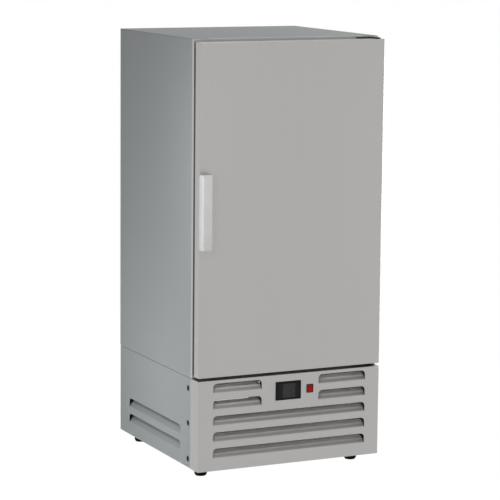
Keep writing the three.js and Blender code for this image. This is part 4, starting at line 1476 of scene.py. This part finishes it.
@dataclass(frozen=True)
class Base:
    """The louvred covers round the refrigeration unit, the pan and the levelling feet."""

    long_rows: tuple[float, ...] = (44.0, 101.3, 158.0)
    short_rows: tuple[float, ...] = (215.0, 271.7)
    row_half: float = 294.0
    short_length: float = 184.0
    side_rows: tuple[float, ...] = (45.5, 102.8)
    side_row: Pair = (148.0, 611.0)
    side_screws: tuple[float, ...] = (31.0, 157.0, 280.0)
    screw_line: float = 86.0
    front_bend: float = 2.4
    back_row: Pair = (-164.0, 294.0)
    back_screws: tuple[float, ...] = (28.0, 235.0, 290.0)
    back_screw_inset: float = 14.0
    gland_hole: float = 7.2
    screen_depth: float = 23.5
    pleat: float = 1.2
    pleats: int = 60

    def front(self) -> None:
        """The front cover: five rows of louvres, the two upper ones broken by the controls."""
        inner = self.row_half - self.short_length
        rows = [(-self.row_half, self.row_half, foot) for foot in self.long_rows]
        for foot in self.short_rows:
            rows += [(-self.row_half, -inner, foot), (inner, self.row_half, foot)]
        node = "base_front_cover"
        PressedSheet(
            node, Facing.FRONT, folds=(Span.of(node).size[1],) * 4, louvres=tuple(rows),
            form=Louvre(bend=self.front_bend),
            cuts=(Window.behind("controller_body", 3.2), Window.behind("switch_housing", 0.9)),
        ).build("pressed", SHADE_PAINTED_COVER_STEEL)

    def sides(self) -> None:
        """The two side sheets with two long louvres and three black screws each."""
        for side, facing in (("left", Facing.LEFT), ("right", Facing.RIGHT)):
            PressedSheet(
                f"base_side_{side}", facing, folds=(0.0, 14.0, 25.0, 25.0),
                louvres=tuple((*self.side_row, foot) for foot in self.side_rows),
                dimples=tuple((self.screw_line, z) for z in self.side_screws), dimple=12.0,
            ).build("pressed", SHADED_BASE_SIDE_STEEL, SCREW_BLACK, "black_plastic")

    def screens(self) -> None:
        """The pleated filter screens behind the sides' louvres: they lean out by the pleat times cos(k y)."""
        margin, below, above, steps = 12, 2, 44, 6
        reach = np.linspace(self.side_row[0] - margin, self.side_row[1] + margin, steps * self.pleats + 1)
        rise = np.linspace(self.side_rows[0] - below, self.side_rows[1] + above, 9)
        along, level = np.meshgrid(reach, rise)
        lean = self.pleat * np.cos(2 * np.pi * (along - reach[0]) / (reach[-1] - reach[0]) * self.pleats)
        inner = Span.of("base_side_right").high[0] - self.screen_depth
        for side, sign in (("left", -1), ("right", 1)):
            pad = Shape().grid(np.stack([sign * (inner + lean), along, level], axis=-1))
            piece_from(f"louvre_screen_{side}", pad, BLACK_PLASTIC, make=Make(wall=0.8))

    def back(self) -> None:
        """The back sheet with three long louvres, its screws and the hole for the gland."""
        gland, edge = Span.of("cable_gland").middle, Span.of("base_back").high[0] - self.back_screw_inset
        PressedSheet(
            "base_back", Facing.BACK, louvres=tuple((*self.back_row, foot) for foot in self.long_rows),
            cuts=(Window.square(gland[0], gland[2], self.gland_hole),),
            dimples=tuple((side * edge, z) for side in (-1, 1) for z in self.back_screws),
        ).build("pressed", ZINC, BRIGHT_STEEL)

    def gland(self) -> None:
        """The cable gland: a locknut, a hexagon body and a ribbed dome nut with an open throat."""
        middle, out = Span.of("cable_gland").middle, AXES["y"]
        place = (middle[0], Span.of("base_back").high[1], middle[2])
        body = turned([(0, -14), (7.6, -14), (7.6, 0.3)], place, out, 36)
        hexagon = [(7.6, 0.3), (11.6, 0.3), (12, 0.8), (12, 5.4), (11.4, 6), (10, 6)]
        body.merge(turned(hexagon, place, out, 36, 6))
        dome = path((10, 6), (10, 8.5), arc((6.4, 9.4), 3.6, 10, 80, 6), (5.4, 13.2), (5.2, 12.4), (5.0, 9.0),
                    (0, 8.4))
        body.merge(turned(dome, place, out, 36))
        piece_from("cable_gland_moulded", body, BLACK_PLASTIC, ("cable_gland",))

    def feet(self) -> None:
        """Four feet: a rubber pad with a moulded shoulder, a locknut and a threaded stud."""
        pad = path(
            (0, 0), (17, 0), arc((17.5, 1.4), 1.4, -80, -10, 4), (21.2, 5.2),
            arc((20.6, 6.6), 1.4, -20, 20, 3), (22, 8.4), (22, 10.2), arc((20.6, 10.6), 1.4, 0, 80, 4),
            (17.5, 13.2), arc((15.2, 17.6), 2.2, 250, 180, 4), (13, 20), (13, 24.5), (12.4, 25.2), (0, 25.2))
        nut = [(0, 25.0), (4.8, 25.0), (4.8, 25.2), (12.0, 25.2), (12.4, 25.8), (12.4, 32.8), (11.6, 33.8),
               (5.0, 34.0)]
        steps, foot, length, root, crest = 12, 34.2, 17.6, 4.55, 5.0
        turns = np.arange(steps + 1)
        thread = np.column_stack([np.where(turns % 2, root, crest), foot + turns * (length / steps)])
        for place, body in (("front_left", "foot_fl"), ("front_right", "foot_fr"),
                            ("back_left", "foot_bl"), ("back_right", "foot_br")):
            node = f"foot_{place}"
            span = Span.of(node)
            centre = (span.middle[0], span.middle[1], span.low[2])
            piece_from(f"{node}_pad", turned(pad, centre, AXES["z"], 48), RUBBER, (node,), body=body)
            stud = turned(nut, centre, AXES["z"], 36, 6)
            stud.merge(turned(path((5.0, 34.0), thread, (0, 51.9)), centre, AXES["z"], 24))
            piece_from(f"{node}_stud", stud, ZINC, body=body)

    def build(self) -> None:
        """Makes the base's pieces."""
        for step in (self.front, self.sides, self.screens, self.back, self.gland, self.feet):
            step()
        eased_copy("base_pan", ZINC, 0.4)


# ---------------------------------------------------------------- controls


@dataclass(frozen=True)
class Controls:
    """The controller with its display, and the rocker switch."""

    bezel: float = 6.5
    screen: Pair = (47.5, 50.0)
    screen_shift: Pair = (2.1, -0.8)
    rim_face: float = -0.3
    rocker_tilt: float = math.radians(-7.0)
    rocker_slope: float = math.atan2(2.5, 12.2)

    def controller(self) -> None:
        """The bezel with eased edges over a long housing, the window in its recess and the display on it."""
        span, window = Span.of("controller_body"), Span.of("controller_window")
        front, face, tail, ease = span.low[1], self.rim_face, span.high[1], 0.9
        low, high = window.low[1], window.high[1]
        housing = path(
            (3.6, tail), (3.6, face), (0.4, face), (0.0, face - 0.4),
            arc((ease, front + ease), ease, 180, 270, 5),
            (self.bezel - 1.2, front), (self.bezel - 0.4, front + 0.7), (self.bezel, front + 1.25))
        pane = path((0, high), (0, low + 0.2), (0.2, low))
        plate = path((0, low + 0.1), (0, low - 0.1), (0.25, low - 0.25))
        x, _, z = span.middle + [self.screen_shift[0], 0, self.screen_shift[1]]
        wide, tall = self.screen[0] / 2, self.screen[1] / 2
        glass = Outline(x - wide, x + wide, z - tall, z + tall)
        for name, outline, profile, corner, finish, replaces in (
                ("controller_bezel", span.outline(), housing, 2.4, BLACK_PLASTIC, ("controller_body",)),
                ("controller_inner_pane", window.outline(), pane, 1.0, INNER_PLASTIC, ("controller_window",)),
                ("controller_display", glass, plate, 1.2, DISPLAY, ())):
            piece_from(name, Shape().loft(outline.rings(profile, corner)), finish, replaces)

    def switch(self) -> None:
        """The switch's rim and cup, its two blades and the rocker."""
        span = Span.of("switch_housing")
        front, face, middle = span.low[1], self.rim_face, span.middle
        profile = path(
            (1.2, 20), (1.2, face), (0.3, face), (0, face - 0.3), arc((0.7, front + 0.7), 0.7, 180, 270, 4),
            (1.6, front), (1.9, front + 0.4), (1.9, 14))
        blades = blocks(np.array([[middle[0], 23.5, middle[2] + z] for z in (-7, 7)]), (6, 9, 1))
        piece_from("switch_rim", Shape().loft(span.outline().rings(profile, 2.2)), BLACK_PLASTIC,
                   ("switch_housing",))
        piece_from("switch_blades", blades, COPPER)
        eased_copy("switch_rocker", RED_PLASTIC, 0.6, 3)

    def marks(self) -> None:
        """A bar on the rocker's lower half and a ring on the upper one, lying on the tilted faces."""
        cos, sin = math.cos(self.rocker_tilt), math.sin(self.rocker_tilt)
        out = np.array([0, -math.cos(self.rocker_slope), -math.sin(self.rocker_slope)])
        ring = hoop((0, -3.3, 6.4), 2.3, 0.28, out, 28, 6)
        bar = tube(np.array([[0, -2.85, -4.0], [0, -3.75, -8.4]]), 0.3, 8)
        turn = np.array([[1, 0, 0], [0, cos, -sin], [0, sin, cos]])
        marks = ring.merge(bar).moved(pivot("switch_tilt"), turn)
        piece_from("switch_marks", marks, RED_PLASTIC, body="rocker")

    def build(self) -> None:
        """Makes the controls."""
        self.controller()
        self.switch()
        self.marks()


# ---------------------------------------------------------------- chamber and fans


@dataclass(frozen=True)
class FanStation:
    """A fan on its plate: guard, blades and motor, with its axis running back from the plate."""

    blade_node: str
    motor_node: str
    body: str
    opening: float
    blade: float
    hub: float
    chord: float
    arm: float

    def centre(self) -> Array:
        """The fan's axis, in the plane y = 0."""
        axis = Span.of(self.blade_node).middle
        return np.array([axis[0], 0.0, axis[2]])

    def blade_shape(self, start: float) -> Shape:
        """The five blades and the hub.

        Along a blade (u from 0 to 1) the pitch eases from 42 to 26 degrees and the blade sweeps on by
        0.35 u^2; across it (v from -1/2 to 1/2) it is cambered by 4 (1 - 4 v^2), and its thickness fades
        towards both edges as 1 - (2 v)^4.

        Args:
            start: Place in y of the blades' own zero.

        Returns:
            The shape.
        """
        u = np.linspace(0, 1, 15)[:, None]
        v = np.linspace(-0.5, 0.5, 11)[None]
        radius = (self.hub - 3) + u * (self.blade - self.hub + 3)
        pitch = np.radians(42 - 16 * u)
        reach = self.chord * (0.7 + 0.3 * np.sin(2 * u)) * (1 - 0.12 * np.clip(u - 0.9, 0, 1) * 10)
        angle = v * reach * np.cos(pitch) / radius + 0.35 * u**2
        height = v * reach * np.sin(pitch) + 4 * (1 - 4 * v**2) + 0.9
        thick = 0.25 + 0.65 * (1 - (2 * v) ** 4) * np.ones_like(u)
        shape = Shape()
        for turn in spokes(5):
            across_x, across_z = radius * np.cos(angle + turn), radius * np.sin(angle + turn)
            faces = [np.stack([across_x, -(height + lift), across_z], -1) for lift in (-thick, thick)]
            rings = np.concatenate([faces[0], faces[1][:, ::-1]], axis=1) * [1, -1, -1]
            shape.loft(rings)
        hub = path((0, -14), (self.hub - 5, -14), arc((self.hub - 4, -10), 4, -80, 0, 5), (self.hub, 15),
                   (self.hub - 1, 16), (0, 16))
        shape.merge(turned(hub, (0, 0, 0), AXES["y"], 40))
        return shape.moved(self.centre() + [0, start, 0])

    def motor_shape(self, start: float) -> Shape:
        """A ribbed can with a shaft, and three arms that reach out past the opening and forward.

        Args:
            start: Place in y of the motor's front face.

        Returns:
            The shape.
        """
        body = self.hub + 14
        can = path((0, 0), (body - 3, 0), arc((body - 3, 3), 3, -80, 0, 4), (body, 9), (body - 0.8, 9.6),
                   (body - 0.8, 11), (body, 11.6), (body, 18), (body - 0.8, 18.6), (body - 0.8, 20),
                   (body, 20.6), (body, 26), arc((body - 6, 26), 6, 0, 80, 6), (0, 32))
        shape = turned(can, (0, 0, 0), AXES["y"], 48)
        shape.merge(turned([(0, -3.5), (4, -3.5), (4, 1), (0, 1)], (0, 0, 0), AXES["y"], 20))
        reach = self.opening + 8
        bend = 4.0
        knee = reach - bend + 1.5
        line = path((self.hub, 4.5), (knee, 4.5), arc((knee, 4.5 - bend), bend, 90, 0, 6),
                    (reach + 1.5, -self.arm + 1.5))
        section = np.array([[-5.0, -1.5], [5.0, -1.5], [5.0, 1.5], [-5.0, 1.5]])
        run = np.gradient(line, axis=0)
        run /= np.linalg.norm(run, axis=1)[:, None]
        normal = np.column_stack([-run[:, 1], run[:, 0]])
        for turn in spokes(3) + np.pi / 2:
            out = np.array([math.cos(turn), 0, -math.sin(turn)])
            side = np.array([math.sin(turn), 0, math.cos(turn)])
            spine = line[:, 0][:, None] * out + line[:, 1][:, None] * AXES["y"]
            up = normal[:, 0][:, None] * out + normal[:, 1][:, None] * AXES["y"]
            rings = (spine[:, None] + section[None, :, :1] * side + section[None, :, 1:] * up[:, None])
            shape.loft(rings)
        return shape.moved(self.centre() + [0, start, 0])

    def guard_shape(self, node: str) -> Shape:
        """The wire guard: round hoops on a dished plane, four cranked spokes and a small centre plate.

        Args:
            node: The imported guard.

        Returns:
            The shape.
        """
        span = Span.of(node)
        radius, wire = span.high[0] - span.middle[0], 1.5
        rim, dish = span.high[1] - wire, span.low[1] + wire
        middle = self.centre()
        shape = hoop(middle + [0, rim, 0], radius - wire, wire, AXES["y"], 72)
        for share in (0.24, 0.36, 0.48, 0.60, 0.72, 0.84):
            shape.merge(hoop(middle + [0, dish + 1.6, 0], radius * share, 1.15, AXES["y"], 64, 7))
        crank = eased_route([(10, dish, 0), (radius * 0.5, dish, 0), (radius * 0.86, dish, 0),
                             (radius * 0.93, (dish + rim) / 2, 0), (radius - wire - 0.2, rim, 0)], 5)
        for turn in spokes(4):
            cos, sin = math.cos(turn), math.sin(turn)
            spin = np.array([[cos, 0, -sin], [0, 1, 0], [sin, 0, cos]])
            shape.merge(tube(crank, wire, 8).moved(middle, spin))
        plate = path((0, dish - 1.4), (12, dish - 1.4), arc((13, dish - 0.4), 1, -90, 0, 4), (14, dish + 1.4),
                     (0, dish + 1.4))
        shape.merge(turned(plate, middle, AXES["y"], 36))
        return shape

    def bell_mouth(self, surface: float) -> Shape:
        """The rolled lip of the opening: a quarter round from the plate back into the opening.

        Args:
            surface: Place in y of the plate's front face.

        Returns:
            The shape.
        """
        roll = 5.0
        edge, start = self.opening - 0.2, surface + 0.6
        line = path((edge, start), arc((edge, start + roll), roll, -90, -180, 6),
                    (edge - roll, start + roll + 3))
        return turned(line, self.centre(), AXES["y"], 72)

    def build(self, blade_start: float, motor_start: float) -> None:
        """Makes the fan's pieces.

        Args:
            blade_start: Place in y of the blades' own zero.
            motor_start: Place in y of the motor's front face.
        """
        piece_from(f"{self.blade_node}_curved", self.blade_shape(blade_start), GREY_PLASTIC,
                   (self.blade_node,), body=self.body)
        piece_from(f"{self.motor_node}_ribbed", self.motor_shape(motor_start), BLACK_COAT, (self.motor_node,))


@dataclass(frozen=True)
class Chamber:
    """What stands in the chamber: racks, evaporator, its cover and its two fans."""

    blades_behind: float = 25.0
    motor_behind: float = 45.0
    screw_inset: Pair = (14.0, 25.0)

    def build(self) -> None:
        """Makes the chamber's pieces."""
        for side in ("left", "right"):
            eased_copy(f"rack_{side}", RUNNER_STEEL, 0.5)
        eased_copy("evaporator_cover", LINER_STEEL, 0.35, 1)
        cover = Span.of("evaporator_cover")
        plate = cover.low[1]
        for level in ("lower", "upper"):
            fan = FanStation(f"fan_blade_{level}", f"fan_motor_{level}", f"fan_{level}",
                             opening=102.0, blade=92.0, hub=22.0, chord=62.0, arm=43.5)
            fan.build(plate + self.blades_behind, plate + self.motor_behind)
            guard = f"fan_guard_{level}"
            piece_from(f"{guard}_wires", fan.guard_shape(guard), WIRE_COAT, (guard,))
            piece_from(f"fan_lip_{level}", fan.bell_mouth(plate), LINER_STEEL, make=Make(wall=1.0))
        heads, (side, end) = Shape(), self.screw_inset
        for x in (cover.low[0] + side, cover.high[0] - side):
            for z in np.linspace(cover.low[2] + end, cover.high[2] - end, 4):
                heads.merge(screw((x, plate, z), -AXES["y"], 4.6, 2.2))
        piece_from("evaporator_cover_screws", heads, BRIGHT_STEEL)
        Coil("evaporator_coil", fin_pitch=6.0, pitch=25.0, rows=(-16.0, 16.0)).build()


@dataclass(frozen=True)
class Coil:
    """A finned block on tubes that turn back at each side in hairpin bends."""

    node: str
    fin_pitch: float
    pitch: float
    rows: tuple[float, ...]
    heights: tuple[float, ...] = ()
    tube: float = 4.6
    overhang: float = 12.0
    fin: float = 0.35
    end_plate: float = 1.5

    def levels(self, span: Span) -> Array:
        """Heights of the tubes: the ones given, or an even number of them about the block's middle.

        Args:
            span: The block's box.

        Returns:
            The heights.
        """
        if self.heights:
            return np.array(self.heights)
        count = 2 * int((span.high[2] - span.low[2] - 2 * self.pitch) / self.pitch / 2)
        return span.middle[2] + (np.arange(count) - (count - 1) / 2) * self.pitch

    def fins(self, span: Span, x0: float, x1: float) -> Shape:
        """The fins from x0 to x1, with a thicker plate at each end.

        Args:
            span: The block's box.
            x0: Place of the left end plate.
            x1: Place of the right one.

        Returns:
            The shape.
        """
        (_, deep, tall), (_, y, z) = span.size, span.middle
        places = np.arange(x0 + self.fin_pitch, x1 - self.fin_pitch / 2, self.fin_pitch)
        centres = np.column_stack([places, np.full(len(places), y), np.full(len(places), z)])
        fins = blocks(centres, (self.fin, deep - 1.0, tall - 1.0))
        return fins.merge(blocks(np.array([[x0, y, z], [x1, y, z]]), (self.end_plate, deep, tall)))

    def tubes(self, span: Span, x0: float, x1: float) -> Shape:
        """Straight tubes, half circles that join each to the next, and a stub at the first and the last.

        Args:
            span: The block's box.
            x0: Place of the left end plate.
            x1: Place of the right one.

        Returns:
            The shape.
        """
        levels, tubes, sides = self.levels(span), Shape(), 12
        through, start, play = 0.6, 0.5, 0.2
        reach = self.overhang - self.tube - play
        turn = np.linspace(-np.pi / 2, np.pi / 2, 9)
        for row in self.rows:
            y = span.middle[1] + row
            for z in levels:
                tubes.merge(tube(np.array([[x0 - through, y, z], [x1 + through, y, z]]), self.tube, sides))
            for index, (low, high) in enumerate(zip(levels[:-1], levels[1:])):
                side, edge = (1, x1) if index % 2 else (-1, x0)
                bend = np.column_stack([edge + side * (start + reach * np.cos(turn)), np.full(len(turn), y),
                                        (low + high) / 2 + (high - low) / 2 * np.sin(turn)])
                tubes.merge(tube(bend, self.tube, sides, reference=AXES["y"]))
            for z in (levels[0], levels[-1]):
                stub = np.array([[x1, y, z], [x1 + self.overhang - play / 2, y, z]])
                tubes.merge(tube(stub, self.tube, sides))
        return tubes

    def build(self) -> None:
        """Makes the fins and the tubes."""
        span = Span.of(self.node)
        ends = span.low[0] + self.overhang, span.high[0] - self.overhang
        piece_from(f"{self.node}_fins", self.fins(span, *ends), FINS, (self.node,))
        piece_from(f"{self.node}_tubes", self.tubes(span, *ends), COPPER)


# ---------------------------------------------------------------- refrigeration unit


@dataclass(frozen=True)
class ColdUnit:
    """The compressor, the condenser with its shroud and fan, the electric box, the tray and the pipes."""

    pipe: float = 4.0
    suction: float = 6.0
    shell_inset: float = 95.0
    tube_low: float = 37.75
    tube_pitch: float = 27.56
    tube_high: float = 175.55
    liquid_x: float = 84.0
    blades_behind: float = 20.0
    motor_behind: float = 40.0

    def compressor(self) -> None:
        """The drawn shell with its welded belt, on a pressed foot plate with rubber grommets."""
        span = Span.of("compressor")
        x, y = span.high[0] - self.shell_inset, span.middle[1]
        profile = path(
            (0, 18), (50, 18), arc((62, 38), 20, -80, -10, 6), (80, 46), (80, 112), (81.2, 113), (83, 114),
            (83, 118), (81.2, 119), (80, 120), (80, 148), arc((62, 150), 18, 0, 50, 6), (60, 176),
            arc((36, 158), 38, 55, 85, 5), (0, 198))
        shell = turned(profile, (x, y, 0), AXES["z"], 64)
        shell.merge(tube(np.array([[x - 76, y - 20, 140], [x - 102, y - 20, 140]]), self.suction, 20))
        piece_from("compressor_shell", shell, BLACK_COAT, ("compressor",))
        plate = Outline(x - 95, x + 95, y - 70, y + 70)
        rings = plate.rings(path((0.6, 13.0), (0, 13.6), (0, 17.4), (0.6, 18.0)), 14.0, 7)[..., [0, 2, 1]]
        piece_from("compressor_foot_plate", Shape().loft(rings), BLACK_COAT)
        rubber = path((0, 3.3), (11, 3.3), (11, 8), arc((11, 10), 1.6, 270, 90, 5), (11, 12), (11, 13.1),
                      (0, 13.1))
        grommets, bolts = Shape(), Shape()
        for dx in (-80, 80):
            for dy in (-55, 55):
                grommets.merge(turned(rubber, (x + dx, y + dy, 0), AXES["z"], 28))
                bolts.merge(screw((x + dx, y + dy, 18.0), AXES["z"], 6.5, 4.0))
        piece_from("compressor_grommets", grommets, RUBBER)
        piece_from("compressor_bolts", bolts, BRIGHT_STEEL)
        eased_copy("compressor_terminal_cover", BLACK_PLASTIC, 0.8, 3)

    def pipes(self) -> None:
        """The copper lines: from the compressor to the condenser, on through the drier, and back."""
        coil, deck = Span.of("condenser_coil"), Span.of("cabinet_deck").low[2] - 0.3
        port_x, port_y = coil.high[0] + 0.3, coil.middle[1]
        low, high, side = self.tube_low, self.tube_high, self.liquid_x
        liquid = eased_route([
            (port_x, port_y, low), (76, port_y, low), (side, 108, low + 4), (side, 210, 60), (side, 252, 80),
            (side, 264, 140), (side, 266, 230), (side, 266, deck)])
        discharge = eased_route([
            (146, 395, 135), (142, 385, 135), (134, 345, 142), (128, 310, 156), (104, 240, 226),
            (96, 150, 236), (side, 108, 200), (76, port_y, high), (port_x, port_y, high)])
        suction = eased_route([
            (72.7, 450, 140), (58, 450, 140), (40, 450, 168), (36, 452, 240), (36, 454, deck)])
        drier = path((0, 96), (5.5, 96), (6.5, 98), arc((5, 108), 8, -75, 0, 5), (13, 112), (13, 164),
                     arc((5, 168), 8, 0, 75, 5), (6.5, 178), (5.5, 180), (0, 180))
        for name, shape, replaces in (
                ("liquid_line_tube", tube(liquid, self.pipe, 14), ("liquid_line",)),
                ("filter_drier", turned(drier, (side, 263.5, 0), AXES["z"]), ()),
                ("discharge_tube", tube(discharge, self.pipe, 14), ("discharge_pipe",)),
                ("suction_tube", tube(suction, self.suction, 16), ("suction_pipe",))):
            piece_from(name, shape, COPPER, replaces)

    def build(self) -> None:
        """Makes the unit's pieces."""
        self.compressor()
        Coil("condenser_coil", fin_pitch=3.4, pitch=self.tube_pitch, rows=(0.0,),
             heights=tuple(self.tube_low + self.tube_pitch * step for step in range(6))).build()
        eased_copy("condenser_shroud", ZINC, 0.3, 1)
        shroud = Span.of("condenser_shroud").high[1]
        fan = FanStation("condenser_fan_blade", "condenser_fan_motor", "condenser_fan",
                         opening=74.0, blade=67.0, hub=18.0, chord=46.0, arm=39.7)
        fan.build(shroud + self.blades_behind, shroud + self.motor_behind)
        eased_copy("electric_box", GREY_PLASTIC, 0.8)
        eased_copy("condensate_tray", GREY_PLASTIC, 0.6)
        self.pipes()


# ---------------------------------------------------------------- studio


@dataclass(frozen=True)
class Lamp:
    """A soft square lamp, which glossy surfaces mirror unless it is told not to be."""

    name: str
    place: Triple
    aim: Triple
    size: float
    watts: float
    mirrored: bool = True

    def light(self) -> None:
        """Hangs the lamp, pointed at its aim."""
        data = bpy.data.lights.new(self.name, "AREA")
        data.energy, data.size = self.watts, self.size
        lamp = bpy.data.objects.new(self.name, data)
        lamp.location = self.place
        lamp.rotation_euler = (Vector(self.aim) - Vector(self.place)).to_track_quat("-Z", "Y").to_euler()
        lamp.visible_camera = False
        lamp.visible_glossy = self.mirrored
        bpy.context.scene.collection.objects.link(lamp)


@dataclass(frozen=True)
class Studio:
    """A pale floor, a white surround, soft lamps and the camera."""

    floor_half: float = 40.0
    surround: float = 0.04
    backdrop_lift: float = 0.25
    floor_white: float = 0.975
    floor_glow: float = 1.022
    floor_tone: tuple[float, float, float, float] = (0.86, 0.86, 0.86, 1.0)
    focal_pixels: float = 2209.17
    picture_pixels: float = 500.0
    sensor: float = 36.0
    yaw: float = 0.44678
    pitch: float = 0.15459
    roll: float = 0.00965
    eye: Triple = (-3.3704, -7.0366, 1.9551)
    lamps: tuple[Lamp, ...] = (
        Lamp("left_low", (-1.05, -0.05, 0.2), (-0.35, -0.05, 0.45), 0.25, 3.2, False),
        Lamp("left_high", (-1.0, -0.88, 1.16), (-0.35, -0.1, 0.8), 0.3, 10.0, False),
        Lamp("high_right", (2.0, 0.2, 2.4), (0.0, 0.0, 1.5), 1.0, 29.0),
        Lamp("front_high", (0.3, -2.2, 3.2), (0.0, -0.2, 0.9), 1.2, 16.0),
        Lamp("right_fill", (2.2, -0.4, 0.9), (0.35, 0.0, 0.8), 1.0, 42.0),
        Lamp("back_fill", (0.7, 2.6, 0.65), (0.1, 0.3, 0.6), 0.9, 20.0),
    )

    def seen_directly(self, nodes: Nodes) -> Socket:
        """1 for rays from the camera and for mirrored and passing rays, 0 for scattered light.

        Args:
            nodes: The tree that asks.

        Returns:
            The value.
        """
        rays = nodes.add("LightPath", {}).outputs
        direct = [rays[f"Is {kind} Ray"] for kind in ("Camera", "Glossy", "Transmission")]
        return nodes.sum(direct, clamp=True)

    def world(self) -> None:
        """White where it is seen, and a plain even light for the rest."""
        world = bpy.data.worlds.new("surround")
        bpy.context.scene.world = world
        world.use_nodes = True
        world.cycles.sampling_method = "NONE"
        nodes = Nodes(world.node_tree)
        nodes.tree.nodes.clear()
        strength = nodes.level(self.seen_directly(nodes), (self.surround, 1.0), (0.0, 1.0))
        camera_ray = nodes.add("LightPath", {}).outputs["Is Camera Ray"]
        whiter = nodes.add("Math", {0: camera_ray, 1: self.backdrop_lift, 2: strength},
                           operation="MULTIPLY_ADD")
        shade = nodes.add("Background", {"Strength": whiter.outputs[0]})
        nodes.add("OutputWorld", {"Surface": shade.outputs[0]})

    def floor(self) -> None:
        """A wide floor that looks white and still takes a faint shadow."""
        half = self.floor_half
        corners = [(-half, -half, 0), (half, -half, 0), (half, half, 0), (-half, half, 0)]
        mesh = bpy.data.meshes.new("studio_floor")
        mesh.from_pydata(corners, [], [(0, 1, 2, 3)])
        floor = bpy.data.objects.new("studio_floor", mesh)
        bpy.context.scene.collection.objects.link(floor)
        material = bpy.data.materials.new("floor_paper")
        material.use_nodes = True
        material.cycles.emission_sampling = "NONE"
        nodes = Nodes(material.node_tree)
        paper = nodes.first("BSDF_PRINCIPLED")
        nodes.wire(paper, {"Base Color": self.floor_tone, "Roughness": 0.9, "Specular IOR Level": 0.1})
        glow = nodes.add("Emission", {"Strength": self.floor_glow})
        share = nodes.level(self.seen_directly(nodes), (0.0, self.floor_white), (0.0, 1.0))
        mix = nodes.add("MixShader", {0: share, 1: paper.outputs[0], 2: glow.outputs[0]})
        nodes.wire(nodes.first("OUTPUT_MATERIAL"), {"Surface": mix.outputs[0]})
        mesh.materials.append(material)

    def camera(self) -> None:
        """The camera, turned by yaw, pitch and roll from a level view along +y."""
        (cy, sy), (cp, sp), (cr, sr) = (
            (math.cos(angle), math.sin(angle)) for angle in (self.yaw, self.pitch, self.roll))
        level = np.array([[1, 0, 0], [0, 0, -1], [0, 1, 0]])
        yaw = np.array([[cy, 0, -sy], [0, 1, 0], [sy, 0, cy]])
        pitch = np.array([[1, 0, 0], [0, cp, -sp], [0, sp, cp]])
        roll = np.array([[cr, -sr, 0], [sr, cr, 0], [0, 0, 1]])
        right, down, ahead = roll @ pitch @ yaw @ level
        data = bpy.data.cameras.new("camera")
        data.sensor_width = self.sensor
        data.lens = self.focal_pixels / self.picture_pixels * self.sensor
        data.clip_end = 200.0
        camera = bpy.data.objects.new("camera", data)
        turn = Matrix(np.column_stack([right, -down, -ahead]).tolist()).to_4x4()
        camera.matrix_world = Matrix.Translation(self.eye) @ turn
        bpy.context.scene.collection.objects.link(camera)
        bpy.context.scene.camera = camera

    def build(self) -> None:
        """Sets up the studio."""
        bpy.context.scene.view_settings.view_transform = "Standard"
        self.camera()
        self.world()
        self.floor()
        for lamp in self.lamps:
            lamp.light()


def main() -> None:
    """Builds the studio and then the machine, piece by piece."""
    logging.basicConfig(level=logging.INFO, format="%(message)s")
    Studio().build()
    for part in (Door(), Cabinet(), Hinges(), Base(), Controls(), Chamber(), ColdUnit()):
        LOG.info("-- %s", type(part).__name__)
        part.build()


if __name__ == "__main__":
    main()
